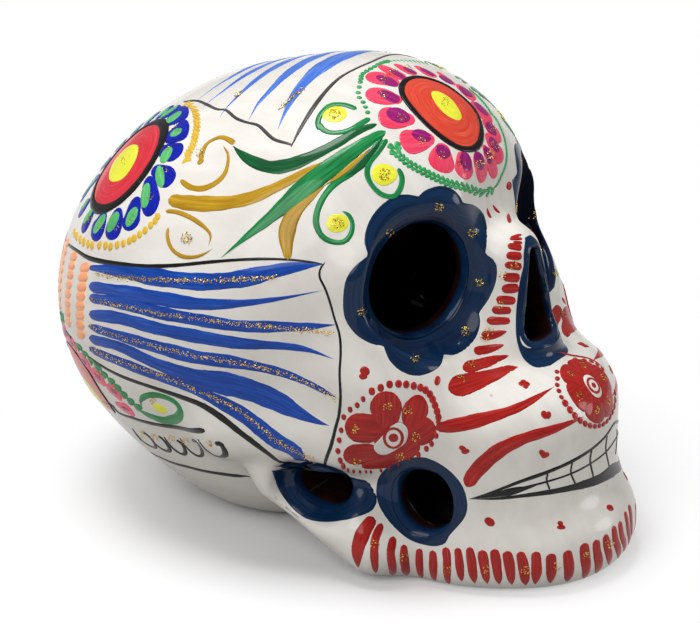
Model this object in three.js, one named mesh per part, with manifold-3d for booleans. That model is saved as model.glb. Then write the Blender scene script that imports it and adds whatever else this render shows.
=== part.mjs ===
// A hollow ceramic skull, as a potter builds it: two cranium halves and a jaw are pressed in moulds,
// then joined along their edges with slip. The face looks along -Y and the skull stands on z = 0.
import * as THREE from 'three';
import { mergeVertices } from 'three/addons/utils/BufferGeometryUtils.js';
import Module from 'manifold-3d';

const wasm = await Module();
wasm.setup();

// Clay, in millimetres
const WALL = 5;
const SLIP = 1.4;
const GAP = 0.3;
const SLIP_LIFT = 0.4;

// Braincase: an egg tipped back, then the forehead and the base of the skull
const BRAIN_WIDTH = 124;
const BRAIN_LENGTH = 142;
const BRAIN_HEIGHT = 113;
const BRAIN_TILT = 27;
const BRAIN_Y = 17;
const BRAIN_Z = 66;
const FOREHEAD_WIDTH = 90;
const FOREHEAD_LENGTH = 74;
const FOREHEAD_HEIGHT = 80;
const FOREHEAD_Y = -8.5;
const FOREHEAD_Z = 86;
const BASE_WIDTH = 84;
const BASE_HEIGHT = 68;
const BASE_Y = 16;
const BASE_Z = 30;

// Face: cheeks, cheek arches, the outer rims of the eyes, the upper jaw, the hollow between the brows
// and the nose
const CHEEK_WIDTH = 34;
const CHEEK_LENGTH = 40;
const CHEEK_HEIGHT = 38;
const CHEEK_X = 33;
const CHEEK_Y = -28;
const CHEEK_Z = 56;
const ARCH_THICKNESS = 16;
const ARCH_FRONT_X = 42;
const ARCH_BACK_X = 50;
const ARCH_FRONT_Y = -26;
const ARCH_BACK_Y = 4;
const ARCH_Z = 40;
const RIM_THICKNESS = 10;
const RIM_X = 37;
const RIM_Y = -31;
const RIM_TOP = 85;
const RIM_BOTTOM = 70;
const MUZZLE_WIDTH = 74;
const MUZZLE_LENGTH = 78;
const MUZZLE_HEIGHT = 46;
const MUZZLE_ROUND = 15;
const MUZZLE_Y = -42;
const MUZZLE_Z = 33;
const BROW_HOLLOW_WIDTH = 38;
const BROW_HOLLOW_LENGTH = 26;
const BROW_HOLLOW_HEIGHT = 28;
const BROW_HOLLOW_Y = -58;
const BROW_HOLLOW_Z = 97;
const NOSE_ROOT_WIDTH = 17;
const NOSE_BASE_WIDTH = 22;
const NOSE_ROOT_Y = -51;
const NOSE_BASE_Y = -54;
const NOSE_ROOT_Z = 83;
const NOSE_BASE_Z = 62;

// Jaw: a rounded U and the two bars that rise to the cheeks
const JAW_WIDTH = 75;
const JAW_LENGTH = 90;
const JAW_TOP = 22;
const JAW_ROUND = 11;
const JAW_Y = -43;
const JAW_SUNK = 2;
const BAR_FRONT_THICKNESS = 20;
const BAR_BACK_THICKNESS = 18;
const BAR_FRONT_X = 38;
const BAR_FRONT_Y = -34;
const BAR_FRONT_Z = 11.5;
const BAR_BACK_X = 42;
const BAR_BACK_Y = -8;
const BAR_BACK_Z = 26;

// Openings cut through the wall, and the dishes pressed round them
const EYE_WIDTH = 28;
const EYE_HEIGHT = 30.4;
const EYE_X = 27;
const EYE_Y = -43;
const EYE_Z = 81;
const EYE_TURN = 29;
const EYE_REACH = 22;
const EYE_DISH_MARGIN = 4.5;
const EYE_DISH_DEPTH = 9;
const NOSE_HOLE_WIDTH = 14.4;
const NOSE_HOLE_TIP_WIDTH = 4;
const NOSE_HOLE_CORNER = 3;
const NOSE_HOLE_TOP = 86.5;
const NOSE_HOLE_BOTTOM = 62.5;
const NOSE_HOLE_BACK = -38;
const CHEEK_DISH_MARGIN = 3;
const CHEEK_DISH_DEPTH = 8;
const FRONT_HOLE_LENGTH = 16;
const FRONT_HOLE_HEIGHT = 17;
const FRONT_HOLE_Y = -48;
const FRONT_HOLE_Z = 25;
const FRONT_DISH_X = 44;
const REAR_HOLE_LENGTH = 16;
const REAR_HOLE_HEIGHT = 11;
const REAR_HOLE_Y = -20;
const REAR_HOLE_Z = 24.5;
const REAR_DISH_X = 48;
const CHEEK_HOLE_INNER_X = 22;

// Parting line between the cranium and the jaw
const MOUTH_Z = 28;
const HEEL_Y = 6;
const HEEL_BEND = 14;

// How softly neighbouring forms run into each other
const BLEND_HEAD = 14;
const BLEND_FACE = 11;
const BLEND_MUZZLE = 16;
const BLEND_BROW = 8;
const BLEND_JAW = 8;
const BLEND_LIP = 6;
const BLEND_DISH = 4.5;

// Facets
const OUTER_DETAIL = 15;
const INNER_DETAIL = 9;
const HOLE_SEGMENTS = 28;
const CURVE_STEPS = 6;
const REACH = 200;
const CORE_Y = -20;
const CORE_Z = 48;
const CENTRE = new THREE.Vector3(0, CORE_Y, CORE_Z);

const vec = (x, y, z) => new THREE.Vector3(x, y, z);
const half = (x, y, z) => vec(x / 2, y / 2, z / 2);

// Signed distances, near enough, from a point to the simple forms
function ellipsoid(point, centre, radii) {
  const scaled = point.clone().sub(centre).divide(radii);
  const size = scaled.length();
  return size * (size - 1) / Math.max(scaled.divide(radii).length(), 1e-9);
}

function bar(point, start, end, startRadius, endRadius = startRadius) {
  const along = end.clone().sub(start);
  const toPoint = point.clone().sub(start);
  const share = THREE.MathUtils.clamp(toPoint.dot(along) / along.lengthSq(), 0, 1);
  const radius = THREE.MathUtils.lerp(startRadius, endRadius, share);
  return toPoint.addScaledVector(along, -share).length() - radius;
}

function puck(point, centre, radii, round) {
  const flat = vec(point.x - centre.x, point.y - centre.y, 0);
  const outline = ellipsoid(flat, vec(0, 0, 0), vec(radii.x, radii.y, 1));
  const side = outline + round;
  const top = Math.abs(point.z - centre.z) - radii.z + round;
  return Math.hypot(Math.max(side, 0), Math.max(top, 0)) + Math.min(Math.max(side, top), 0) - round;
}

function join(a, b, softness) {
  const share = THREE.MathUtils.clamp(0.5 + 0.5 * (b - a) / softness, 0, 1);
  return THREE.MathUtils.lerp(b, a, share) - softness * share * (1 - share);
}

const press = (form, tool, softness) => -join(-form, tool, softness);

const turned = (point, centre, axis, degrees) => point.clone().sub(centre)
  .applyAxisAngle(axis, THREE.MathUtils.degToRad(degrees)).add(centre);

const X_AXIS = vec(1, 0, 0);
const Z_AXIS = vec(0, 0, 1);
const BRAIN = vec(0, BRAIN_Y, BRAIN_Z);

function head(p) {
  const forehead = ellipsoid(p, vec(0, FOREHEAD_Y, FOREHEAD_Z),
    half(FOREHEAD_WIDTH, FOREHEAD_LENGTH, FOREHEAD_HEIGHT));
  const base = ellipsoid(p, vec(0, BASE_Y, BASE_Z), half(BASE_WIDTH, BASE_WIDTH, BASE_HEIGHT));
  const brain = ellipsoid(turned(p, BRAIN, X_AXIS, BRAIN_TILT), BRAIN,
    half(BRAIN_WIDTH, BRAIN_LENGTH, BRAIN_HEIGHT));
  return join(join(brain, forehead, BLEND_HEAD), base, BLEND_HEAD);
}

function face(p) {
  const cheek = ellipsoid(p, vec(CHEEK_X, CHEEK_Y, CHEEK_Z), half(CHEEK_WIDTH, CHEEK_LENGTH, CHEEK_HEIGHT));
  const arch = bar(p, vec(ARCH_FRONT_X, ARCH_FRONT_Y, ARCH_Z), vec(ARCH_BACK_X, ARCH_BACK_Y, ARCH_Z),
    ARCH_THICKNESS / 2);
  const muzzle = puck(p, vec(0, MUZZLE_Y, MUZZLE_Z), half(MUZZLE_WIDTH, MUZZLE_LENGTH, MUZZLE_HEIGHT),
    MUZZLE_ROUND);
  const rim = bar(p, vec(RIM_X, RIM_Y, RIM_TOP), vec(RIM_X, RIM_Y, RIM_BOTTOM), RIM_THICKNESS / 2);
  let form = join(join(head(p), cheek, BLEND_FACE), arch, BLEND_FACE);
  form = join(join(form, muzzle, BLEND_MUZZLE), rim, BLEND_FACE);
  const brow = ellipsoid(p, vec(0, BROW_HOLLOW_Y, BROW_HOLLOW_Z),
    half(BROW_HOLLOW_WIDTH, BROW_HOLLOW_LENGTH, BROW_HOLLOW_HEIGHT));
  form = press(form, brow, BLEND_BROW);
  const nose = bar(p, vec(0, NOSE_ROOT_Y, NOSE_ROOT_Z), vec(0, NOSE_BASE_Y, NOSE_BASE_Z),
    NOSE_ROOT_WIDTH / 2, NOSE_BASE_WIDTH / 2);
  return join(form, nose, BLEND_JAW);
}

function lowerJaw(p) {
  const depth = JAW_TOP + JAW_SUNK;
  const bowl = puck(p, vec(0, JAW_Y, JAW_TOP - depth / 2), half(JAW_WIDTH, JAW_LENGTH, depth), JAW_ROUND);
  const rise = bar(p, vec(BAR_FRONT_X, BAR_FRONT_Y, BAR_FRONT_Z), vec(BAR_BACK_X, BAR_BACK_Y, BAR_BACK_Z),
    BAR_FRONT_THICKNESS / 2, BAR_BACK_THICKNESS / 2);
  return join(bowl, rise, BLEND_JAW);
}

// The outside of the skull before its dishes are pressed, below zero inside the clay
const skull = (p) => join(face(p), lowerJaw(p), BLEND_LIP);

// The oval dishes round the openings, on the side where x is positive
const cheekDish = (x, y, z, length, height) => ({
  centre: vec(x, y, z),
  radii: vec(CHEEK_DISH_DEPTH, length / 2 + CHEEK_DISH_MARGIN, height / 2 + CHEEK_DISH_MARGIN),
  turn: 0,
});
const DISHES = [
  {
    centre: vec(EYE_X, EYE_Y, EYE_Z),
    radii: vec(EYE_WIDTH / 2 + EYE_DISH_MARGIN, EYE_DISH_DEPTH, EYE_HEIGHT / 2 + EYE_DISH_MARGIN),
    turn: EYE_TURN,
  },
  cheekDish(FRONT_DISH_X, FRONT_HOLE_Y, FRONT_HOLE_Z, FRONT_HOLE_LENGTH, FRONT_HOLE_HEIGHT),
  cheekDish(REAR_DISH_X, REAR_HOLE_Y, REAR_HOLE_Z, REAR_HOLE_LENGTH, REAR_HOLE_HEIGHT),
];

// The skull with its dishes, which the hollow inside keeps clear of
function dishedSkull(p) {
  let form = skull(p);
  for (const { centre, radii, turn } of DISHES) {
    form = press(form, ellipsoid(turned(p, centre, Z_AXIS, -turn), centre, radii), BLEND_DISH);
  }
  return form;
}

// Solids
function solid(geometry) {
  const bare = geometry.clone();
  bare.deleteAttribute('normal');
  bare.deleteAttribute('uv');
  const merged = mergeVertices(bare);
  const vertProperties = new Float32Array(merged.attributes.position.array);
  const triVerts = new Uint32Array(merged.index.array);
  return new wasm.Manifold(new wasm.Mesh({ numProp: 3, vertProperties, triVerts }));
}

// A ball pushed out along its own rays until it lies the given depth under a form
function moulded(form, detail, depth) {
  const geometry = new THREE.IcosahedronGeometry(1, detail);
  const position = geometry.attributes.position;
  const ray = new THREE.Vector3();
  for (let i = 0; i < position.count; i += 1) {
    ray.fromBufferAttribute(position, i).normalize();
    let near = 0;
    let far = REACH;
    while (far - near > 0.0005) {
      const middle = (near + far) / 2;
      const point = CENTRE.clone().addScaledVector(ray, middle);
      point.x = Math.abs(point.x);
      if (form(point) < -depth) near = middle;
      else far = middle;
    }
    ray.multiplyScalar(near).add(CENTRE);
    position.setXYZ(i, ray.x, ray.y, ray.z);
  }
  return solid(geometry);
}

// A box between two values of one axis, wide enough to reach past the skull
function slab(axis, low, high) {
  const size = vec(2 * REACH, 2 * REACH, 2 * REACH);
  size[axis] = high - low;
  const geometry = new THREE.BoxGeometry(size.x, size.y, size.z);
  const centre = vec(0, 0, 0);
  centre[axis] = (low + high) / 2;
  geometry.translate(centre.x, centre.y, centre.z);
  return solid(geometry);
}

// A drawn outline pushed along X or Y, with the outline's own up along Z
function extruded(shape, axis, low, high) {
  const settings = { depth: high - low, bevelEnabled: false, curveSegments: CURVE_STEPS };
  const geometry = new THREE.ExtrudeGeometry(shape, settings);
  const turn = new THREE.Matrix4();
  if (axis === 'x') turn.makeBasis(vec(0, 1, 0), vec(0, 0, 1), vec(1, 0, 0)).setPosition(low, 0, 0);
  else turn.makeBasis(vec(1, 0, 0), vec(0, 0, 1), vec(0, -1, 0)).setPosition(0, high, 0);
  geometry.applyMatrix4(turn);
  return solid(geometry);
}

function ovalHole(y, z, length, height, side) {
  const points = new THREE.EllipseCurve(y, z, length / 2, height / 2).getPoints(HOLE_SEGMENTS).slice(0, -1);
  const low = side > 0 ? CHEEK_HOLE_INNER_X : -REACH;
  const high = side > 0 ? REACH : -CHEEK_HOLE_INNER_X;
  return extruded(new THREE.Shape(points), 'x', low, high);
}

function dish({ centre, radii, turn }, side) {
  const geometry = new THREE.SphereGeometry(1, HOLE_SEGMENTS, HOLE_SEGMENTS / 2);
  geometry.scale(radii.x, radii.y, radii.z);
  geometry.rotateZ(THREE.MathUtils.degToRad(side * turn));
  geometry.translate(side * centre.x, centre.y, centre.z);
  return solid(geometry);
}

function eyeHole(side) {
  const geometry = new THREE.CylinderGeometry(1, 1, 2 * EYE_REACH, HOLE_SEGMENTS);
  geometry.scale(EYE_WIDTH / 2, 1, EYE_HEIGHT / 2);
  geometry.rotateZ(THREE.MathUtils.degToRad(side * EYE_TURN));
  geometry.translate(side * EYE_X, EYE_Y, EYE_Z);
  return solid(geometry);
}

// The nose opening: a flat-bottomed pear, narrow at the bridge
function noseHole() {
  const wide = NOSE_HOLE_WIDTH / 2;
  const narrow = NOSE_HOLE_TIP_WIDTH / 2;
  const top = NOSE_HOLE_TOP;
  const bottom = NOSE_HOLE_BOTTOM;
  const corner = NOSE_HOLE_CORNER;
  const pull = (top - bottom) / 4;
  const shape = new THREE.Shape();
  shape.moveTo(0, bottom);
  shape.lineTo(wide - corner, bottom);
  shape.quadraticCurveTo(wide, bottom, wide, bottom + corner);
  shape.bezierCurveTo(wide, bottom + corner + pull, narrow, top - pull, narrow, top - narrow);
  shape.quadraticCurveTo(narrow, top, 0, top);
  shape.quadraticCurveTo(-narrow, top, -narrow, top - narrow);
  shape.bezierCurveTo(-narrow, top - pull, -wide, bottom + corner + pull, -wide, bottom + corner);
  shape.quadraticCurveTo(-wide, bottom, corner - wide, bottom);
  return extruded(shape, 'y', -REACH, NOSE_HOLE_BACK);
}

// The pressed shell, hollow, flat underneath and open at the eyes, nose and cheeks
function pressedShell() {
  const cavity = moulded(dishedSkull, INNER_DETAIL, WALL).subtract(slab('z', -REACH, WALL));
  const outside = moulded(skull, OUTER_DETAIL, 0).subtract(slab('z', -REACH, 0));
  let shell = outside.subtract(cavity).subtract(noseHole());
  for (const side of [1, -1]) {
    DISHES.forEach((place) => { shell = shell.subtract(dish(place, side)); });
    shell = shell.subtract(eyeHole(side));
    shell = shell.subtract(ovalHole(FRONT_HOLE_Y, FRONT_HOLE_Z, FRONT_HOLE_LENGTH, FRONT_HOLE_HEIGHT, side));
    shell = shell.subtract(ovalHole(REAR_HOLE_Y, REAR_HOLE_Z, REAR_HOLE_LENGTH, REAR_HOLE_HEIGHT, side));
  }
  return shell;
}

// Everything on the jaw's side of the parting line, which is moved outwards by the given distance
function jawSide(outwards) {
  const line = new THREE.Path();
  line.moveTo(-REACH, MOUTH_Z);
  line.lineTo(FRONT_HOLE_Y - FRONT_HOLE_LENGTH, MOUTH_Z);
  line.lineTo(FRONT_HOLE_Y, FRONT_HOLE_Z);
  line.lineTo(REAR_HOLE_Y, REAR_HOLE_Z);
  line.lineTo(HEEL_Y - HEEL_BEND, REAR_HOLE_Z);
  line.quadraticCurveTo(HEEL_Y, REAR_HOLE_Z, HEEL_Y, REAR_HOLE_Z - HEEL_BEND);
  line.lineTo(HEEL_Y, -REACH);
  const points = line.getPoints(CURVE_STEPS);
  const moved = points.map((point, i) => {
    const before = points[Math.max(i - 1, 0)];
    const after = points[Math.min(i + 1, points.length - 1)];
    const along = after.clone().sub(before).normalize();
    return point.clone().add(new THREE.Vector2(-along.y, along.x).multiplyScalar(outwards));
  });
  moved.push(new THREE.Vector2(-REACH, -REACH));
  return extruded(new THREE.Shape(moved), 'x', -REACH, REACH);
}

const shell = pressedShell();
const edge = SLIP / 2 + GAP;
const cranium = shell.subtract(jawSide(edge));
const jaw = shell.intersect(jawSide(-edge));
const offFloor = slab('z', SLIP_LIFT, REACH);
const band = shell.intersect(jawSide(SLIP / 2)).subtract(jawSide(-SLIP / 2)).intersect(offFloor);
const seam = cranium.intersect(slab('x', -SLIP / 2, SLIP / 2)).intersect(offFloor);
const noseMiddle = (NOSE_HOLE_TOP + NOSE_HOLE_BOTTOM) / 2;
const lip = slab('z', -REACH, noseMiddle).intersect(slab('y', -REACH, NOSE_HOLE_BACK));
const bridge = band.intersect(slab('y', FRONT_HOLE_Y, REAR_HOLE_Y));

const coat = new THREE.MeshStandardMaterial({ color: 0xe8e4de, roughness: 0.22, metalness: 0 });
const slipClay = new THREE.MeshStandardMaterial({ color: 0xe2dcd4, roughness: 0.3, metalness: 0 });
const group = new THREE.Group();

function piece(name, body, material) {
  const { vertProperties, triVerts } = body.getMesh();
  const geometry = new THREE.BufferGeometry();
  geometry.setAttribute('position', new THREE.BufferAttribute(new Float32Array(vertProperties), 3));
  geometry.setIndex(new THREE.BufferAttribute(new Uint32Array(triVerts), 1));
  const mesh = new THREE.Mesh(geometry, material);
  mesh.name = name;
  group.add(mesh);
}

piece('cranium_right_half', cranium.intersect(slab('x', -REACH, -edge)), coat);
piece('cranium_left_half', cranium.intersect(slab('x', edge, REACH)), coat);
piece('jaw', jaw, coat);
piece('crown_seam', seam.subtract(lip), slipClay);
piece('lip_seam', seam.intersect(lip), slipClay);
piece('mouth_slip', band.intersect(slab('y', -REACH, FRONT_HOLE_Y)), slipClay);
piece('bridge_slip_right', bridge.intersect(slab('x', -REACH, 0)), slipClay);
piece('bridge_slip_left', bridge.intersect(slab('x', 0, REACH)), slipClay);
piece('heel_slip', band.intersect(slab('y', REAR_HOLE_Y, REACH)), slipClay);

// The origin is on the ground under the middle of the skull
const box = new THREE.Box3().setFromObject(group);
group.position.y = -(box.min.y + box.max.y) / 2;

export default group;
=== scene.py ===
# %% [markdown]
# # A painted clay skull
# The real thing is a hollow clay skull, pressed in moulds, fired, whitened with a ground coat, painted by
# hand with acrylics and glitter, and varnished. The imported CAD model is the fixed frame: it gives the size,
# the place on the table and the pieces. Here the same form is made smooth, and then painted stroke by stroke.

# %% Load the frame
import math
import bpy
import numpy as np
from mathutils import Matrix, Vector


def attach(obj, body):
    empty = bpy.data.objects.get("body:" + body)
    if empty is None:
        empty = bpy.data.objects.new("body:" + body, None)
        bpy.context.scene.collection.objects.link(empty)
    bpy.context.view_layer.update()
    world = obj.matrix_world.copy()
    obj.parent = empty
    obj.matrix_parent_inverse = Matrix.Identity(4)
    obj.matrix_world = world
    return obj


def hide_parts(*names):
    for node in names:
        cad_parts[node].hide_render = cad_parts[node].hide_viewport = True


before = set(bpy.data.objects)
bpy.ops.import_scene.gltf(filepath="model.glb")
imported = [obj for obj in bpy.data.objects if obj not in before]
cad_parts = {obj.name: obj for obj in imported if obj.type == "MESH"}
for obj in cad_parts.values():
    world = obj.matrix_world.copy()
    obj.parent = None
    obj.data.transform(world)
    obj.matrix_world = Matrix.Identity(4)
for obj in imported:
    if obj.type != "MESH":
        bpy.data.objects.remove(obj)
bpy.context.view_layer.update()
MM = 0.001
rng = np.random.default_rng(7)
print("nodes", sorted(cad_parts))


# %% [markdown]
# ## The clay form
# A potter's mould has no straight edges, so the skull could be sculpted, or built from blended forms. Blended
# forms are chosen, because the CAD model is made that way: each one gives a distance, and a soft minimum
# runs neighbours into each other. Every stroke of paint later asks this same form where the surface is.

# %% Distances to simple forms, in millimetres
def oval(p, centre, radii):
    scaled = (p - np.array(centre)) / np.array(radii)
    size = np.linalg.norm(scaled, axis=-1)
    return size * (size - 1) / (np.linalg.norm(scaled / np.array(radii), axis=-1) + 1e-9)


def bar(p, start, end, start_radius, end_radius):
    start, along = np.array(start), np.subtract(end, start)
    share = np.clip((p - start) @ along / (along @ along), 0, 1)
    reach = np.linalg.norm(p - start - share[..., None] * along, axis=-1)
    return reach - start_radius - (end_radius - start_radius) * share


def puck(p, centre, radii, rounding):
    flat = p[..., :2] - np.array(centre[:2])
    side = oval(flat, (0, 0), radii[:2]) + rounding
    top = np.abs(p[..., 2] - centre[2]) - radii[2] + rounding
    outside = np.hypot(np.maximum(side, 0), np.maximum(top, 0))
    return outside + np.minimum(np.maximum(side, top), 0) - rounding


def join(a, b, softness):
    share = np.clip(0.5 + 0.5 * (b - a) / softness, 0, 1)
    return b + (a - b) * share - softness * share * (1 - share)


def press(form, tool, softness):
    return -join(-form, tool, softness)


def spun(p, centre, degrees):
    """Points turned about an upright line through centre, and seen from it."""
    turn = math.radians(degrees)
    x, y, z = np.moveaxis(p - np.array(centre), -1, 0)
    return np.stack([x * math.cos(turn) + y * math.sin(turn), y * math.cos(turn) - x * math.sin(turn), z], -1)


def tipped(p, centre, degrees):
    """Points turned about a line from ear to ear through centre, and seen from it."""
    turn = math.radians(degrees)
    x, y, z = np.moveaxis(p - np.array(centre), -1, 0)
    return np.stack([x, y * math.cos(turn) - z * math.sin(turn), y * math.sin(turn) + z * math.cos(turn)], -1)


print("2 mm outside a 10 mm ball:", round(float(oval(np.array([12.0, 0, 0]), (0, 0, 0), (10, 10, 10))), 3))


# %% The skull's own forms
EYE, EYE_TURN = (27, -43, 81), 29
EYE_WIDE, EYE_HIGH = 14, 15.2
FRONT_HOLE, FRONT_WIDE, FRONT_HIGH = (44, -48, 25), 8, 8.5
REAR_HOLE, REAR_WIDE, REAR_HIGH = (48, -20, 24.5), 8, 5.5
EYE_DISH, FRONT_DISH, REAR_DISH = (18.5, 9, 19.7), (8, 11, 11.5), (8, 11, 8.5)
NOSE_BULB, NOSE_BULB_WIDE, NOSE_TIP, NOSE_TIP_WIDE, NOSE_SILL = 66, 7.2, 84.5, 2, 62.5
WALL = 5
DISH_EDGE, WAVE_HEIGHT = 4.5, 0.16
FOOT_EDGE, HOLLOW_EDGE, INNER_EDGE, RIM_EDGE = 1.5, 3, 1.0, 1.6


def moulded_form(p):
    """The outside of the clay with no dishes: below zero inside, x taken as positive."""
    form = oval(tipped(p, (0, 17, 66), 27), (0, 0, 0), (62, 71, 56.5))
    form = join(form, oval(p, (0, -8.5, 86), (45, 37, 40)), 14)
    form = join(form, oval(p, (0, 16, 30), (42, 42, 34)), 14)
    form = join(form, oval(p, (33, -28, 56), (17, 20, 19)), 11)
    form = join(form, bar(p, (42, -26, 40), (50, 4, 40), 8, 8), 11)
    form = join(form, puck(p, (0, -42, 33), (37, 39, 23), 15), 16)
    form = join(form, bar(p, (37, -31, 85), (37, -31, 70), 5, 5), 11)
    form = press(form, oval(p, (0, -58, 97), (19, 13, 14)), 8)
    form = join(form, bar(p, (0, -51, 83), (0, -54, 62), 8.5, 11), 8)
    jaw = puck(p, (0, -43, 10), (37.5, 45, 12), 11)
    jaw = join(jaw, bar(p, (38, -34, 11.5), (42, -8, 26), 10, 9), 8)
    return join(form, jaw, 6)


def dished_form(p):
    """The outside with the eyes and the cheek openings pressed in, and the slight waves of handwork."""
    form = moulded_form(p)
    form = press(form, oval(spun(p, EYE, EYE_TURN), (0, 0, 0), EYE_DISH), DISH_EDGE)
    form = press(form, oval(p, FRONT_HOLE, FRONT_DISH), DISH_EDGE)
    form = press(form, oval(p, REAR_HOLE, REAR_DISH), DISH_EDGE)
    x, y, z = np.moveaxis(p, -1, 0)
    waves = np.sin(x / 8 + y / 13) * np.sin(y / 9 - z / 17) + np.sin(z / 11 - x / 19) * np.sin(x / 15 + z / 8)
    return form + WAVE_HEIGHT * waves


print("wall", WALL, "mm, with dishes", EYE_DISH, FRONT_DISH, REAR_DISH)


# %% Slide the form so that its box is centred, as the CAD's is
PROBES, HALVINGS, FAR_OUT = 20000, 24, 200.0


def sphere_rays(count):
    """Even directions all round, on a golden spiral."""
    k = np.arange(count) + 0.5
    height = 1 - 2 * k / count
    turn = math.pi * (1 + math.sqrt(5)) * k
    flat = np.sqrt(1 - height ** 2)
    return np.stack([flat * np.cos(turn), flat * np.sin(turn), height], -1)


def pushed_out(rays, form, depth):
    """How far each ray runs from the middle of the clay before it is the given depth under a form."""
    near, far = np.zeros(len(rays)), np.full(len(rays), FAR_OUT)
    for _ in range(HALVINGS):
        middle = (near + far) / 2
        p = CORE + rays * middle[:, None]
        p[:, 0] = np.abs(p[:, 0])
        inside = form(p) < -depth
        near, far = np.where(inside, middle, near), np.where(inside, far, middle)
    return near


CORE = np.array([0, -20.0, 48])
probe = sphere_rays(PROBES)
ends = CORE + probe * pushed_out(probe, moulded_form, 0)[:, None]
SLIDE = -(ends[:, 1].min() + ends[:, 1].max()) / 2
print("slide", round(SLIDE, 3), "length", round(np.ptp(ends[:, 1]), 2))


def folded(p):
    """Frame points, in the form's own place, with both sides of the face laid on one."""
    return np.stack([np.abs(p[..., 0]), p[..., 1] - SLIDE, p[..., 2]], -1)


def surface(p):
    """The painted outside, flat underneath."""
    return press(dished_form(folded(p)), p[..., 2], FOOT_EDGE)


def steepest(form, p, here=None, step=0.02):
    """The direction in which a form grows fastest."""
    here = form(p) if here is None else here
    return np.stack([form(p + step * axis) - here for axis in np.eye(3)], -1) / step


def settle(p, lift=0.0, form=surface, rounds=4):
    """Points moved on to a form, then raised above it by the lift."""
    p = np.array(p, float)
    for _ in range(rounds):
        here = form(p)
        slope = steepest(form, p, here)
        p -= np.clip(here, -2, 2)[..., None] * slope / (np.sum(slope ** 2, -1, keepdims=True) + 1e-9)
    slope = steepest(form, p)
    normal = slope / (np.linalg.norm(slope, axis=-1, keepdims=True) + 1e-9)
    return p + np.asarray(lift)[..., None] * normal


# %% Openings, and the whole wall with its rounded rims
EYE_BACK, NOSE_BACK, CHEEK_INSIDE = -18, -38, 22
SILL_EDGE, CLEAR = 2, 50.0


def opening(p):
    """Below zero inside the eyes, the nose and the cheek openings."""
    q = folded(p)
    eye = oval(spun(q, EYE, EYE_TURN)[..., [0, 2]], (0, 0), (EYE_WIDE, EYE_HIGH))
    eye = np.where(q[..., 1] < EYE_BACK, eye, CLEAR)
    nose = bar(q[..., [0, 2]], (0, NOSE_BULB), (0, NOSE_TIP), NOSE_BULB_WIDE, NOSE_TIP_WIDE)
    nose = np.where(q[..., 1] < NOSE_BACK, press(nose, q[..., 2] - NOSE_SILL, SILL_EDGE), CLEAR)
    side = q[..., 1:]
    cheek = np.minimum(oval(side, FRONT_HOLE[1:], (FRONT_WIDE, FRONT_HIGH)),
                       oval(side, REAR_HOLE[1:], (REAR_WIDE, REAR_HIGH)))
    cheek = np.where(q[..., 0] > CHEEK_INSIDE, cheek, CLEAR)
    return np.minimum(np.minimum(eye, nose), cheek)


def wall(p):
    """The clay itself: the outside, less the hollow, with soft rims round every opening."""
    form = dished_form(folded(p))
    hollow = press(form + WALL, p[..., 2] - WALL, HOLLOW_EDGE)
    clay = press(press(form, p[..., 2], FOOT_EDGE), hollow, INNER_EDGE)
    return press(clay, opening(p), RIM_EDGE)


print("the crown is clear of every opening:", bool(opening(np.array([0, 0, 120.0])) > 0))


# %% [markdown]
# ## The fired shell
# The shell could be sculpted from a sphere, or filled and remeshed. A pushed-out sphere is cut by a smaller
# one and by plain cutters, as clay is cut with a knife, and a voxel remesh then gives even faces, which are
# settled on to the form so that every rim is round. It stands for all of the clay and slip pieces.

# %% Push a ball out to the form
def deselect():
    if bpy.context.object and bpy.context.object.mode != "OBJECT":
        bpy.ops.object.mode_set(mode="OBJECT")
    bpy.ops.object.select_all(action="DESELECT")


def points_of(obj):
    co = np.empty(len(obj.data.vertices) * 3)
    obj.data.vertices.foreach_get("co", co)
    return co.reshape(-1, 3)


def set_points(obj, co):
    obj.data.vertices.foreach_set("co", np.ascontiguousarray(co, float).ravel())
    obj.data.update()


def ball(name, levels, form, depth, floor):
    deselect()
    bpy.ops.mesh.primitive_ico_sphere_add(subdivisions=levels, radius=1)
    obj = bpy.context.object
    obj.name = name
    rays = points_of(obj)
    rays /= np.linalg.norm(rays, axis=1, keepdims=True)
    p = CORE + rays * pushed_out(rays, form, depth)[:, None] + np.array([0, SLIDE, 0])
    p[:, 2] = np.maximum(p[:, 2], floor)
    set_points(obj, p * MM)
    return obj


def stretched(name, centre, radii, degrees):
    """The unit form just added, stretched, turned about an upright line and set in the frame."""
    obj = bpy.context.object
    obj.name = name
    p = spun(points_of(obj) * np.array(radii), (0, 0, 0), -degrees)
    set_points(obj, (p + np.array(centre) + np.array([0, SLIDE, 0])) * MM)
    return obj


def oval_cutter(*shape):
    """A round bar with an oval section that points along its own Y."""
    deselect()
    bpy.ops.mesh.primitive_cylinder_add(vertices=48, radius=1, depth=2, rotation=(math.pi / 2, 0, 0))
    bpy.ops.object.transform_apply(rotation=True)
    return stretched(*shape)


def egg_cutter(*shape):
    """A smooth egg, for the dishes that are pressed in round an opening."""
    deselect()
    bpy.ops.mesh.primitive_uv_sphere_add(segments=48, ring_count=32, radius=1)
    return stretched(*shape)


def apply(obj, mod):
    deselect()
    bpy.context.view_layer.objects.active = obj
    bpy.ops.object.modifier_apply(modifier=mod.name)


def cut(obj, tool):
    mod = obj.modifiers.new("cut", "BOOLEAN")
    mod.operation = "DIFFERENCE"
    mod.solver = "MANIFOLD"
    mod.object = tool
    apply(obj, mod)
    bpy.data.objects.remove(tool)


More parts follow.
